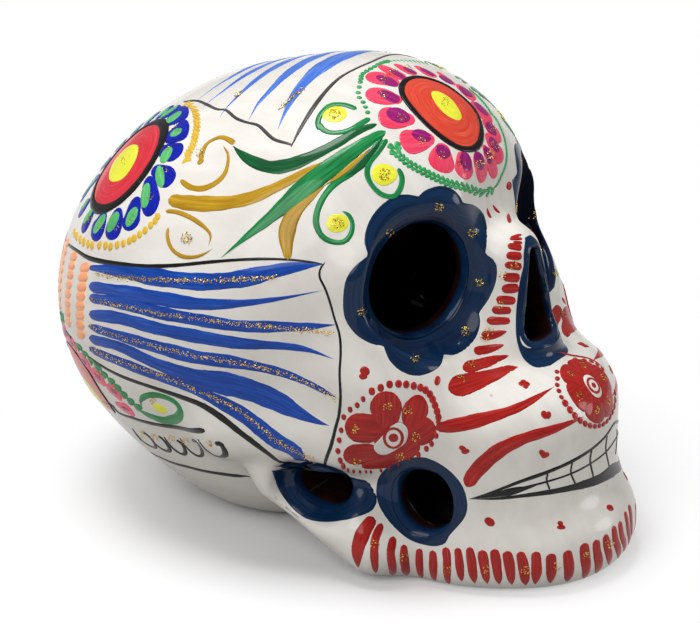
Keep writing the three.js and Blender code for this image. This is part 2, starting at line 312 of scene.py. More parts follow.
EYE_REACH, CHEEK_REACH = 22, 28
shell = ball("painted_shell", 7, moulded_form, 0, 0)
cut(shell, ball("core", 6, dished_form, WALL, WALL))
for side in (1, -1):
    eye, front, rear = ((side * x, y, z) for x, y, z in (EYE, FRONT_HOLE, REAR_HOLE))
    cut(shell, egg_cutter("eye_dish", eye, EYE_DISH, side * EYE_TURN))
    cut(shell, egg_cutter("front_dish", front, FRONT_DISH, 0))
    cut(shell, egg_cutter("rear_dish", rear, REAR_DISH, 0))
    cut(shell, oval_cutter("eye", eye, (EYE_WIDE, EYE_REACH, EYE_HIGH), side * EYE_TURN))
    cut(shell, oval_cutter("front", front, (FRONT_WIDE, CHEEK_REACH, FRONT_HIGH), 90))
    cut(shell, oval_cutter("rear", rear, (REAR_WIDE, CHEEK_REACH, REAR_HIGH), 90))
cut(shell, oval_cutter("nose", (0, -60, 68.5), (6.8, EYE_REACH, 6), 0))
cut(shell, oval_cutter("bridge", (0, -60, 76), (3.2, EYE_REACH, 10), 0))
print("shell faces", len(shell.data.polygons))

# %% Even faces, settled on to the form
VOXEL = 1.4
mod = shell.modifiers.new("even", "REMESH")
mod.mode = "VOXEL"
mod.voxel_size = VOXEL * MM
apply(shell, mod)
set_points(shell, settle(points_of(shell) / MM, 0.0, wall, 5) * MM)
shell.select_set(True)
bpy.ops.object.shade_smooth()
print("shell faces", len(shell.data.polygons), "box", shell.dimensions[:])

# %% [markdown]
# ## The camera
# The skull was photographed from its right, a little above, with a long lens. The camera comes early,
# because the ornament is placed from listed pixels: a pixel in the picture is followed along its line of
# sight to the clay, so a painted line lies on the surface and stays right from every side.

# %% Aim the camera
PHOTO_WIDE, PHOTO_HIGH = 700, 623
AIM_PIXEL = np.array([346.0, 335.0])
AIM = np.array([0, SLIDE, 49])
VIEW_TURN, VIEW_RISE = math.radians(-57), math.radians(22)
VIEW_DISTANCE = 750
LENS_PIXELS = 2700
SENSOR = 36
PIXELS_PER_MM = LENS_PIXELS / VIEW_DISTANCE

backward = np.array([math.sin(VIEW_TURN) * math.cos(VIEW_RISE),
                     -math.cos(VIEW_TURN) * math.cos(VIEW_RISE), math.sin(VIEW_RISE)])
rightward = np.array([math.cos(VIEW_TURN), math.sin(VIEW_TURN), 0])
upward = np.cross(backward, rightward)
viewpoint = AIM + backward * VIEW_DISTANCE

camera = bpy.data.objects.new("camera", bpy.data.cameras.new("camera"))
camera.data.sensor_width = SENSOR
camera.data.lens = LENS_PIXELS / PHOTO_WIDE * SENSOR
camera.data.shift_x = (PHOTO_WIDE / 2 - AIM_PIXEL[0]) / PHOTO_WIDE
camera.data.shift_y = (AIM_PIXEL[1] - PHOTO_HIGH / 2) / PHOTO_WIDE
camera.data.clip_start = 0.01
camera.matrix_world = Matrix(np.vstack([np.column_stack([rightward, upward, backward, viewpoint * MM]),
                                        [0, 0, 0, 1]]).tolist())
bpy.context.scene.collection.objects.link(camera)
bpy.context.scene.camera = camera
print("camera at", np.round(viewpoint), "mm")


# %% Follow a pixel to the clay, and back
START_SHORT, SIGHT_STEPS, CAUTION = 130.0, 80, 0.8


def struck(pixels):
    """Where the lines of sight through some pixels meet the clay, or pass closest to it."""
    offset = (np.asarray(pixels, float) - AIM_PIXEL) / LENS_PIXELS
    ray = offset[:, :1] * rightward - offset[:, 1:] * upward - backward
    ray /= np.linalg.norm(ray, axis=1, keepdims=True)
    reach = np.full(len(ray), VIEW_DISTANCE - START_SHORT)
    closest, least = reach, np.full(len(ray), np.inf)
    for _ in range(SIGHT_STEPS):
        gap = surface(viewpoint + ray * reach[:, None])
        closest = np.where(gap < least, reach, closest)
        least = np.minimum(gap, least)
        reach = reach + CAUTION * np.clip(gap, -5, 20)
    return settle(viewpoint + ray * closest[:, None])


def pictured(p):
    """The pixels at which some points are seen."""
    sight = p - viewpoint
    depth = -(sight @ backward)
    across = np.stack([sight @ rightward, -(sight @ upward)], -1)
    return AIM_PIXEL + LENS_PIXELS * across / depth[..., None]


print("the aim's pixel meets the clay at", np.round(struck([AIM_PIXEL])[0], 1), "mm")


# %% [markdown]
# ## Paint
# Acrylic laid on with a brush stands a fraction of a millimetre proud, with a crowned middle and thin edges.
# It could be a texture, but the edges would blur close up, so each stroke is a thin closed skin of its own:
# a line on the clay, a width that swells and tapers as the brush is pressed and lifted, and a rounded top.
# Hand tools can't lay a mesh on a curved form so closely, so the strokes are built from their points.

# %% How the brush is pressed along a stroke
DROP = ((0, 0), (0.02, 0.42), (0.06, 0.68), (0.13, 0.9), (0.24, 1), (0.5, 0.85), (0.75, 0.52), (1, 0))
LEAF = ((0, 0), (0.08, 0.28), (0.25, 0.75), (0.45, 1), (0.65, 0.88), (0.85, 0.45), (1, 0))
OVAL = ((0, 0), (0.02, 0.28), (0.06, 0.48), (0.14, 0.7), (0.28, 0.9), (0.5, 1), (0.72, 0.9), (0.86, 0.7),
        (0.94, 0.48), (0.98, 0.28), (1, 0))
PETAL = ((0, 0), (0.03, 0.3), (0.1, 0.5), (0.3, 0.74), (0.55, 0.95), (0.7, 1), (0.84, 0.86), (0.93, 0.62),
         (0.98, 0.34), (1, 0))
LINE = ((0, 0), (0.01, 0.6), (0.03, 0.9), (0.1, 1), (0.5, 0.92), (0.9, 1), (0.97, 0.9), (0.99, 0.6), (1, 0))
TAIL = ((0, 0), (0.015, 0.5), (0.05, 0.85), (0.2, 1), (0.6, 0.9), (0.85, 0.6), (1, 0))
BRUSHWORK = {}


def brush(piece, path, width, press=DROP, layer=0, rise=0.16, both=None):
    """Notes a stroke: pixels with a width in pixels, or points with a width in millimetres."""
    path = np.asarray(path, float)
    both = path.shape[1] == 2 if both is None else both
    BRUSHWORK.setdefault(piece, []).append(dict(path=path, width=width, press=press, layer=layer,
                                                rise=rise, both=both))


def seen(view, *points):
    """Pixels of the picture, from places read off an enlarged part of it."""
    left, top, enlarged = view
    return np.array([left, top]) + np.array(points, float) / enlarged


def drawn(piece, view, path, width, press=DROP, **how):
    """Notes a stroke whose path and width were read off an enlarged part of the picture."""
    brush(piece, seen(view, *path), width / view[2], press, **how)


def drawn_all(piece, view, strokes, press, swell=1, **how):
    """Notes a table of such strokes, each a width and then its path."""
    for width, *path in strokes:
        drawn(piece, view, path, swell * width, press, **how)


def smooth_line(points, count):
    """A smooth line through points, cut into the given number of even places."""
    if len(points) == 2:
        return points[0] + np.linspace(0, 1, count)[:, None] * (points[1] - points[0])
    padded = np.vstack([2 * points[0] - points[1], points, 2 * points[-1] - points[-2]])
    a, b, c, d = (padded[k:len(padded) - 3 + k, None] for k in range(4))
    t = np.linspace(0, 1, 14)[None, :, None]
    dense = 0.5 * (2 * b + (c - a) * t + (2 * a - 5 * b + 4 * c - d) * t ** 2
                   + (3 * b - a - 3 * c + d) * t ** 3)
    dense = dense.reshape(-1, points.shape[1])
    run = np.concatenate([[0], np.cumsum(np.linalg.norm(np.diff(dense, axis=0), axis=1))])
    even = np.linspace(0, run[-1], count)
    return np.stack([np.interp(even, run, dense[:, k]) for k in range(points.shape[1])], -1)


def eased(count):
    """Places from 0 to 1 that crowd towards both ends."""
    even = np.linspace(0, 1, count)
    return 0.5 * even + 0.5 * (1 - np.cos(math.pi * even)) / 2


print("a drop is widest at", max(DROP, key=lambda place: place[1])[0], "of its length")


# %% Turn the noted strokes into skins of paint
BODY_PAINT = {}
ACROSS_WIDE = np.array([-1, -0.9, -0.66, -0.34, 0, 0.34, 0.66, 0.9, 1])
ACROSS_FINE = np.array([-1, -0.6, 0, 0.6, 1])
LAYER, BED, EDGE_DIP, SUNK = 0.07, 0.015, 0.03, -0.25
STEPS = 48
SHORT, LONG, FINE = 6, 22, 1.5
SHORT_RINGS, MIDDLE_RINGS, LONG_RINGS = 10, 22, 48


def stroke_skin(strokes, rings, across):
    """Points, stroke coordinates and ring size of a batch of strokes with the same make-up."""
    lines = np.stack([smooth_line(s["points"], STEPS) for s in strokes])
    place = eased(rings)
    spot = place * (STEPS - 1)
    low = np.minimum(spot.astype(int), STEPS - 2)
    centre = lines[:, low] + (lines[:, low + 1] - lines[:, low]) * (spot - low)[None, :, None]
    centre = settle(centre)
    along = np.gradient(centre, axis=1)
    normal = steepest(surface, centre)
    side = np.cross(normal, along)
    side /= np.linalg.norm(side, axis=-1, keepdims=True) + 1e-9
    swell = np.stack([np.interp(place, *np.transpose(s["press"])) for s in strokes])
    width = np.array([s["width"] for s in strokes])
    shown = np.linalg.norm(pictured(centre + side / 2) - pictured(centre - side / 2), axis=-1)
    scale = np.maximum((shown * swell).sum(1) / swell.sum(1), 1.1)
    width = np.where([s["in_pixels"] for s in strokes], width / scale, width)
    run = np.concatenate([np.zeros((len(strokes), 1)),
                          np.cumsum(np.linalg.norm(np.diff(centre, axis=1), axis=-1), axis=1)], 1)
    seed = rng.random(len(strokes))
    shake = 1 + 0.05 * np.sin(run / 2.3 + 40 * seed[:, None]) + 0.03 * np.sin(run / 0.9 + 90 * seed[:, None])
    half = width[:, None] / 2 * swell * shake
    under = np.array([0.6, -0.6])
    spread = np.concatenate([across, under])
    p = centre[:, :, None] + side[:, :, None] * (half[..., None] * spread)[..., None]
    rise = np.array([s["rise"] for s in strokes])[:, None, None] * np.sqrt(swell)[..., None]
    base = np.array([s["layer"] for s in strokes])[:, None, None] * LAYER + BED
    top = base + rise * (1 - np.abs(across) ** 3) - EDGE_DIP * (np.abs(across) == 1)
    sunk = np.broadcast_to(SUNK, top.shape[:2] + (2,))
    skin = settle(p, np.concatenate([top, sunk], -1), rounds=3)
    note = np.stack(np.broadcast_arrays(run[..., None], half[..., None] * spread, seed[:, None, None]), -1)
    return skin, note


def ring_faces(strokes, rings, size, start):
    """Faces round each tube of rings, with its two ends closed."""
    i, j = np.meshgrid(np.arange(rings - 1), np.arange(size), indexing="ij")
    quad = np.stack([i * size + j, (i + 1) * size + j, (i + 1) * size + (j + 1) % size,
                     i * size + (j + 1) % size], -1).reshape(-1, 4)
    first = np.arange(size)
    last = (rings - 1) * size + first[::-1]
    faces = []
    for k in range(strokes):
        shift = start + k * rings * size
        faces += (quad + shift).tolist()
        faces += [(first + shift).tolist(), (last + shift).tolist()]
    return faces


def paint_piece(name, points, faces, notes, finish):
    """A painted piece from its points in millimetres, with its brush coordinates kept on it."""
    mesh = bpy.data.meshes.new(name)
    mesh.from_pydata((points * MM).tolist(), [], faces)
    mesh.attributes.new("stroke", "FLOAT_VECTOR", "POINT").data.foreach_set("vector", notes.ravel())
    mesh.shade_smooth()
    obj = bpy.data.objects.new(name, mesh)
    bpy.context.scene.collection.objects.link(obj)
    mesh.materials.append(finish)
    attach(obj, "root")
    BODY_PAINT[name] = len(faces)
    print("laid", name, len(faces), "faces")
    return obj


def lay(piece, finish):
    """Lays all the strokes that were noted for a piece, near side and far side."""
    strokes = BRUSHWORK.pop(piece)
    flat = [s for s in strokes if s["path"].shape[1] == 2]
    if flat:
        spots = struck(np.concatenate([s["path"] for s in flat]))
        for s, spot in zip(flat, np.split(spots, np.cumsum([len(s["path"]) for s in flat])[:-1])):
            s["points"] = spot
    groups = {}
    for s in strokes:
        s["in_pixels"] = s["path"].shape[1] == 2
        s.setdefault("points", s["path"])
        length = np.linalg.norm(np.diff(s["points"], axis=0), axis=1).sum()
        wide = s["width"] / (PIXELS_PER_MM if s["in_pixels"] else 1)
        rings = SHORT_RINGS if length < SHORT else MIDDLE_RINGS if length < LONG else LONG_RINGS
        groups.setdefault((rings, wide > FINE), []).append(s)
    points, notes, faces, count = [], [], [], 0
    for (rings, wide), batch in groups.items():
        across = ACROSS_WIDE if wide else ACROSS_FINE
        size = len(across) + 2
        skin, note = stroke_skin(batch, rings, across)
        twins = [k for k, s in enumerate(batch) if s["both"]]
        other = skin[twins][:, :, np.r_[len(across) - 1:-1:-1, size - 1:len(across) - 1:-1]] * [-1, 1, 1]
        skin = np.concatenate([skin, other])
        note = np.concatenate([note, note[twins]])
        faces += ring_faces(len(skin), rings, size, count)
        points.append(skin.reshape(-1, 3))
        notes.append(note.reshape(-1, 3))
        count += len(points[-1])
    return paint_piece(piece, np.concatenate(points), faces, np.concatenate(notes), finish)


print("rings in short, middling and long strokes", SHORT_RINGS, MIDDLE_RINGS, LONG_RINGS)

# %% [markdown]
# ## Finishes
# The colours are shop acrylics under a brushed gloss varnish. Real strokes are never one flat colour: the
# hairs leave streaks along the stroke, the paint pools where the brush stops, and dust settles in the
# varnish. The streaks could be drawn as an image, but each stroke already carries its own coordinates, so a
# stretched noise follows every stroke. The effects that all paints share are node groups.

# %% Tools for node trees
def linear(colour):
    """A colour written as on a screen, 0 to 255, as light."""
    share = np.array(colour, float) / 255
    return (*np.where(share <= 0.04045, share / 12.92, ((share + 0.055) / 1.055) ** 2.4), 1.0)


def add(tree, kind, **values):
    node = tree.nodes.new(kind)
    for key, value in values.items():
        setattr(node, key, value)
    return node


def tie(tree, out, into):
    tree.links.new(out, into)


def sums(tree, operation, a, b, clamp=False):
    """A Math node; a number or a socket on either side."""
    node = add(tree, "ShaderNodeMath", operation=operation, use_clamp=clamp)
    for socket, value in zip(node.inputs, (a, b)):
        if isinstance(value, (int, float)):
            socket.default_value = value
        else:
            tie(tree, value, socket)
    return node.outputs[0]


def spread(tree, value, low, high, to_low=0.0, to_high=1.0):
    """A value stretched from one range to another, and kept inside it."""
    node = add(tree, "ShaderNodeMapRange")
    tie(tree, value, node.inputs["Value"])
    for name, number in zip(("From Min", "From Max", "To Min", "To Max"), (low, high, to_low, to_high)):
        node.inputs[name].default_value = number
    return node.outputs["Result"]


def blended(tree, share, a, b):
    """Two colours mixed; each is a colour or a socket."""
    node = add(tree, "ShaderNodeMix", data_type="RGBA")
    tie(tree, share, node.inputs["Factor"])
    for name, value in (("A", a), ("B", b)):
        socket = next(s for s in node.inputs if s.name == name and s.type == "RGBA")
        if isinstance(value, tuple):
            socket.default_value = value
        else:
            tie(tree, value, socket)
    return next(s for s in node.outputs if s.type == "RGBA")


def noise(tree, vector, scale, detail=3, rough=0.55):
    node = add(tree, "ShaderNodeTexNoise")
    tie(tree, vector, node.inputs["Vector"])
    node.inputs["Scale"].default_value = scale
    node.inputs["Detail"].default_value = detail
    node.inputs["Roughness"].default_value = rough
    return node.outputs["Fac"]


print("middle grey as light", np.round(linear((128, 128, 128)), 3))


# %% Shared effects: brush streaks, dust under the varnish, varnish skin
def new_group(name, outputs):
    tree = bpy.data.node_groups.new(name, "ShaderNodeTree")
    for socket, kind in outputs:
        tree.interface.new_socket(socket, in_out="OUTPUT", socket_type=kind)
    return tree, add(tree, "NodeGroupOutput")


streaks, out = new_group("brush_streaks", (("Streak", "NodeSocketFloat"), ("Pool", "NodeSocketFloat")))
stroke = add(streaks, "ShaderNodeAttribute", attribute_name="stroke")
parts = add(streaks, "ShaderNodeSeparateXYZ")
tie(streaks, stroke.outputs["Vector"], parts.inputs[0])
HAIRS, BLOTS = (0.09, 1.9, 60.0), (0.11, 0.16, 85.0)
for socket, stretch, grain in (("Streak", HAIRS, (1.0, 4, 0.6)), ("Pool", BLOTS, (1.0, 2))):
    place = add(streaks, "ShaderNodeCombineXYZ")
    for axis, factor in enumerate(stretch):
        tie(streaks, sums(streaks, "MULTIPLY", parts.outputs[axis], factor), place.inputs[axis])
    tie(streaks, noise(streaks, place.outputs[0], *grain), out.inputs[socket])

dust, out = new_group("dust_specks", (("Speck", "NodeSocketFloat"), ("Grime", "NodeSocketFloat")))
where = add(dust, "ShaderNodeTexCoord").outputs["Object"]
cells = add(dust, "ShaderNodeTexVoronoi")
cells.inputs["Scale"].default_value = 190
tie(dust, where, cells.inputs["Vector"])
tiny = spread(dust, cells.outputs["Distance"], 0.05, 0.13, 1.0, 0.0)
rare = spread(dust, noise(dust, where, 75, 1), 0.6, 0.68)
tie(dust, sums(dust, "MULTIPLY", tiny, rare), out.inputs["Speck"])
tie(dust, spread(dust, noise(dust, where, 34, 5, 0.62), 0.46, 0.76), out.inputs["Grime"])

skin, out = new_group("varnish_skin", (("Height", "NodeSocketFloat"), ("Haze", "NodeSocketFloat")))
where = add(skin, "ShaderNodeTexCoord").outputs["Object"]
slow = noise(skin, where, 110, 2)
fine = noise(skin, where, 420, 2)
tie(skin, sums(skin, "ADD", slow, sums(skin, "MULTIPLY", fine, 0.25)), out.inputs["Height"])
tie(skin, spread(skin, noise(skin, where, 45, 3), 0.35, 0.7), out.inputs["Haze"])


def grouped(tree, group):
    return add(tree, "ShaderNodeGroup", node_tree=group).outputs


print("shared effects", [group.name for group in bpy.data.node_groups])


# %% Paint from a deep and a full tone
def varnished(name):
    """A new material with its gloss coat and the skin of the varnish already on it."""
    mat = bpy.data.materials.new(name)
    mat.use_nodes = True
    tree = mat.node_tree
    shader = tree.nodes["Principled BSDF"]
    shader.inputs["Specular IOR Level"].default_value = 0.06
    shader.inputs["Coat Weight"].default_value = 0.4
    shader.inputs["Coat Roughness"].default_value = 0.08
    shader.inputs["Coat IOR"].default_value = 1.45
    coat = grouped(tree, skin)
    bump = add(tree, "ShaderNodeBump")
    bump.inputs["Strength"].default_value = 0.12
    bump.inputs["Distance"].default_value = 0.0006
    tie(tree, coat["Height"], bump.inputs["Height"])
    tie(tree, bump.outputs["Normal"], shader.inputs["Normal"])
    tie(tree, spread(tree, coat["Haze"], 0, 1, 0.28, 0.42), shader.inputs["Roughness"])
    return mat, tree, shader


def acrylic(name, deep, full, bare=None, thin=0.0):
    """Brushed acrylic: deep in the pools, full elsewhere, and worn thin along some hairs."""
    mat, tree, shader = varnished(name + "_acrylic")
    marks = grouped(tree, streaks)
    colour = blended(tree, spread(tree, marks["Streak"], 0.3, 0.7), linear(deep), linear(full))
    colour = blended(tree, spread(tree, marks["Pool"], 0.5, 0.8, 0.0, 0.7), colour, linear(deep))
    if thin:
        colour = blended(tree, spread(tree, marks["Streak"], 0.6, 0.85, 0.0, thin), colour, linear(bare))
    soil = grouped(tree, dust)
    colour = blended(tree, spread(tree, soil["Speck"], 0, 1, 0.0, 0.35), colour, linear((40, 34, 30)))
    tie(tree, colour, shader.inputs["Base Color"])
    return mat


WHITE = (231, 228, 222)
NAVY_DEEP, NAVY_FULL = (6, 25, 54), (15, 50, 86)
navy = acrylic("navy", NAVY_DEEP, NAVY_FULL)
# A matte near-black blue: painted shade, laid in the far eye's dish where the dark of its hole shows.
painted_shade_blue = acrylic("painted_shade_blue", (5, 8, 20), (11, 17, 36))
matte = painted_shade_blue.node_tree.nodes["Principled BSDF"].inputs
matte["Specular IOR Level"].default_value = 0.0
matte["Coat Weight"].default_value = 0.04
royal = acrylic("royal_blue", (10, 22, 132), (18, 36, 182))
feather_blue = acrylic("feather_blue", (12, 52, 138), (24, 84, 186), (104, 156, 224), 0.3)
crown_blue = acrylic("crown_blue", (48, 92, 196), (92, 140, 224), (190, 205, 235), 0.6)
red = acrylic("red", (138, 22, 20), (190, 42, 36), (210, 96, 82), 0.3)
pink = acrylic("pink", (228, 50, 80), (242, 88, 122), (248, 166, 186), 0.4)
magenta = acrylic("magenta", (124, 15, 90), (168, 38, 124), (200, 86, 150), 0.3)
leaf_green = acrylic("leaf_green", (16, 98, 52), (38, 154, 82), (104, 190, 136), 0.35)
dark_green = acrylic("dark_green", (10, 58, 34), (26, 108, 58), (46, 138, 80), 0.4)
garland_green = acrylic("garland_green", (22, 128, 66), (74, 184, 112), (140, 214, 160), 0.35)
pale_green = acrylic("pale_green", (70, 160, 94), (108, 202, 120), (168, 222, 160), 0.3)
rope_yellow = acrylic("rope_yellow", (206, 160, 36), (232, 196, 76), (240, 220, 140), 0.35)
ochre = acrylic("ochre", (158, 116, 18), (198, 158, 40), (222, 194, 100), 0.35)
yellow = acrylic("yellow", (222, 220, 46), (240, 242, 76), (246, 246, 166), 0.3)
orange = acrylic("orange_disc", (204, 52, 34), (230, 90, 68), (240, 136, 106), 0.5)
crimson = acrylic("crimson_disc", (196, 36, 42), (226, 58, 78), (238, 106, 116), 0.5)
black = acrylic("black_line", (14, 13, 14), (34, 32, 32), (84, 81, 80), 0.3)
grey = acrylic("grey_line", (48, 46, 46), (92, 90, 90), (150, 148, 146), 0.4)
peach = acrylic("peach", (244, 148, 92), (250, 186, 140), (252, 214, 186), 0.4)
chalk = acrylic("white", (216, 212, 206), WHITE)
print("paints", len(bpy.data.materials))

# %% Glitter: tiny gold film flakes
gold = bpy.data.materials.new("gold_glitter")
gold.use_nodes = True
tree = gold.node_tree
shader = tree.nodes["Principled BSDF"]
shader.inputs["Metallic"].default_value = 1.0
flake = add(tree, "ShaderNodeAttribute", attribute_name="stroke")
tie(tree, blended(tree, flake.outputs["Fac"], linear((150, 100, 24)), linear((255, 224, 110))),
    shader.inputs["Base Color"])
tie(tree, spread(tree, flake.outputs["Fac"], 0, 1, 0.2, 0.45), shader.inputs["Roughness"])
shader.inputs["Coat Weight"].default_value = 0.6
shader.inputs["Coat Roughness"].default_value = 0.08
print("glitter", gold.name)

# %% [markdown]
# ## The ground coat and the bare clay
# The shell carries three finishes: a white ground outside, navy brushed over the lips of every opening, and
# bare reddish clay inside, where no brush reached, coloured near black as painted shade for the hollow that
# little light reaches. They could be split by faces, but the edges would step, so two distances are kept on
# the shell's points, and the shader cuts along them as the painter's brush did.

# %% Keep the distances on the shell, and colour it
p = points_of(shell) / MM
depth = shell.data.attributes.new("depth", "FLOAT", "POINT")
depth.data.foreach_set("value", -surface(p))
lip = shell.data.attributes.new("lip", "FLOAT", "POINT")
lip.data.foreach_set("value", opening(p))

ground, tree, shader = varnished("white_ground")
where = add(tree, "ShaderNodeTexCoord").outputs["Object"]
stretch = add(tree, "ShaderNodeMapping")
stretch.inputs["Scale"].default_value = (260, 40, 90)
stretch.inputs["Rotation"].default_value = (0.5, 0.2, 0.9)
tie(tree, where, stretch.inputs["Vector"])
brushed = noise(tree, stretch.outputs[0], 1.0, 3)
soil = grouped(tree, dust)
colour = blended(tree, spread(tree, brushed, 0.35, 0.7), linear((222, 218, 211)), linear(WHITE))
colour = blended(tree, spread(tree, soil["Grime"], 0, 1, 0.0, 0.32), colour, linear((196, 189, 180)))
colour = blended(tree, spread(tree, soil["Speck"], 0, 1, 0.0, 0.55), colour, linear((96, 78, 66)))
ragged = sums(tree, "MULTIPLY", noise(tree, where, 300, 2), 0.9)
edge = add(tree, "ShaderNodeAttribute", attribute_name="lip").outputs["Fac"]
deep = add(tree, "ShaderNodeAttribute", attribute_name="depth").outputs["Fac"]
lipped = spread(tree, sums(tree, "ADD", edge, ragged), 2.2, 2.4, 1.0, 0.0)
rim_blue = blended(tree, spread(tree, brushed, 0.3, 0.7), linear(NAVY_DEEP), linear(NAVY_FULL))
colour = blended(tree, lipped, colour, rim_blue)
# Past the brush's end the inside is bare clay, coloured near black: partly the clay's own dark red-brown,
# partly painted shade for the hollow.
bare_shaded_inside = spread(tree, sums(tree, "ADD", deep, ragged), 1.4, 2.6)
clay = blended(tree, spread(tree, noise(tree, where, 160, 4), 0.3, 0.7), linear((16, 8, 8)),
               linear((44, 20, 16)))
colour = blended(tree, bare_shaded_inside, colour, clay)
tie(tree, colour, shader.inputs["Base Color"])
shell.data.materials.clear()
shell.data.materials.append(ground)
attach(shell, "root")
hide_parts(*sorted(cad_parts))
print("shell points", len(p))

# %% [markdown]
# ## Filled shapes
# Discs, and the navy fields round the openings, are too wide for one stroke. A painter fills them round and
# round from the edge, so each is a skin of rings between an outline and a middle or an opening.

# %% Rings of paint between two loops
FULL_SHARES = np.concatenate([[0.03], np.linspace(0.08, 0.92, 20), [0.96, 0.985, 1.0]])
PATCHES = {}


def closed_line(points, count):
    """A smooth closed loop through points."""
    points = np.asarray(points, float)
    line = smooth_line(np.vstack([points[-2:], points, points[:3]]), 40 * len(points))
    near = np.linalg.norm(line[:, None] - points[None, 0], axis=-1)[:, 0]
    half = len(line) // 2
    start, end = near[:half].argmin(), half + near[half:].argmin()
    return smooth_line(line[start:end + 1], count + 1)[:-1]


def fill(piece, rim, hole=None, layer=0, rise=0.12, both=True):
    """Notes a filled shape with its rim, and its hole if it has one, as loops of points."""
    PATCHES.setdefault(piece, []).append(dict(rim=rim, hole=hole, layer=layer, rise=rise, both=both))


def patch_skin(shape):
    rim, hole = shape["rim"], shape["hole"]
    core = np.broadcast_to(settle(rim.mean(0)), rim.shape) if hole is None else hole
    if hole is None:
        shares = np.concatenate([FULL_SHARES, [0.9, 0.03]])
    else:
        shares = np.concatenate([[0.0, 0.04], FULL_SHARES[1:], [0.9, 0.1]])
    edge = shares[:-2]
    fall = np.maximum(0, edge) ** 12 + (0 if hole is None else (1 - edge) ** 24)
    top = shape["layer"] * LAYER + BED + shape["rise"] * (1 - fall) - EDGE_DIP * (fall > 0.99)
    lift = np.concatenate([top, [SUNK, SUNK]])
    p = settle(core[None] + shares[:-2, None, None] * (rim - core)[None])
    run = np.cumsum(np.linalg.norm(np.diff(p, axis=0, prepend=core[None]), axis=-1), axis=0)
    for k in range(len(rim)):
        even = shares * run[-1, k]
        for axis in range(3):
            p[:, k, axis] = np.interp(even[:-2], run[:, k], p[:, k, axis])
    p = np.concatenate([p, p[[-4, 1]]])
    skin = settle(p, np.broadcast_to(lift[:, None], p.shape[:2]))
    turn = np.linspace(0, 2 * math.pi, len(rim))[None, :] * 8.0
    radius = np.linalg.norm(rim - core, axis=1).mean()
    note = np.stack(np.broadcast_arrays(turn, shares[:, None] * radius, rng.random()), -1)
    return skin, note


def lay_filled(piece, finish):
    """Lays all the filled shapes that were noted for a piece."""
    points, notes, faces, count = [], [], [], 0
    for shape in PATCHES.pop(piece):
        skin, note = patch_skin(shape)
        rings, size = skin.shape[:2]
        across = np.cross(skin[9, 1] - skin[9, 0], skin[10, 0] - skin[9, 0])
        if across @ steepest(surface, skin[9, 0]) > 0:
            skin, note = skin[:, ::-1], note[:, ::-1]
        copies = [skin, skin[:, ::-1] * [-1, 1, 1]] if shape["both"] else [skin]
        for copy in copies:
            made = ring_faces(1, rings, size, count)
            if shape["hole"] is not None:
                made = made[:-2]
                first, last = count + np.arange(size), count + (rings - 1) * size + np.arange(size)
                made += np.stack([last, first, np.roll(first, -1), np.roll(last, -1)], -1).tolist()
            faces += made
            points.append(copy.reshape(-1, 3))
            notes.append(note.reshape(-1, 3))
            count += rings * size
    return paint_piece(piece, np.concatenate(points), faces, np.concatenate(notes), finish)


print("rings in a filled shape", len(FULL_SHARES) + 2)


# %% Places on a flower that is out of sight
def bloom(centre):
    """A flower's middle on the clay, with two directions across it."""
    centre = settle(np.array(centre, float))
    normal = steepest(surface, centre)
    normal /= np.linalg.norm(normal)
    level = np.cross([0, 0, 1.0], normal)
    level /= np.linalg.norm(level)
    return centre, level, np.cross(normal, level)


def on_bloom(flower, radius, degrees):
    """Places on a flower, from their distance off its middle and their turn round it."""
    centre, level, rising = flower
    turn = np.radians(degrees)
    spot = centre + radius * (np.cos(turn)[..., None] * level + np.sin(turn)[..., None] * rising)
    return settle(spot)


def spoke(flower, start, end, degrees, swing=0):
    """A short path on a flower, from one distance off its middle to another, swung round a little."""
    return on_bloom(flower, np.array([[start], [end]]), np.array([degrees, degrees + swing]))


print("a flower's middle settles at", np.round(bloom((-40, 40, 100))[0], 1))

# %% Glitter notes
FLAKES = []
TRAIL_PLACES = 200


def sparkle(spots, both=True):
    """Notes where flakes of glitter stuck: pixels, or points on the clay."""
    spots = np.atleast_2d(spots)
    FLAKES.append((spots if spots.shape[1] == 3 else struck(spots), both))


def dusted(centre, radius, count, both=True):
    """A ring of flakes dabbed with a fingertip round a pixel."""
    turn = rng.random(count) * 2 * math.pi
    reach = radius * np.sqrt(rng.uniform(0.06, 1.0, count))
    sparkle(np.asarray(centre) + np.stack([reach * np.cos(turn), reach * np.sin(turn)], -1), both)


def dab_all(view, dabs, radius, count, both=True):
    """Flakes dabbed at places read off an enlarged part of the picture."""
    for dab in dabs:
        dusted(seen(view, dab)[0], radius, count, both)


def trail(path, count, stray):
    """Flakes strewn along a line of pixels."""
    line = smooth_line(np.asarray(path, float), TRAIL_PLACES)
    spot = line[rng.integers(0, TRAIL_PLACES, count)]
    sparkle(spot + rng.normal(0, stray, (count, 2)))


print("flakes noted", len(FLAKES))


# %% [markdown]
# ## Navy fields round the eyes, the nose and the cheek openings
# Each eye sits in a flower of seven navy petals. The outline is read petal by petal, and the skin runs from
# there to the lip of the opening, where the shell's own navy takes over. Past the nose only the dark of the
# far eye shows, so a matte near-black blue is laid in that eye's dish as painted shade for the dark of its
# hole.

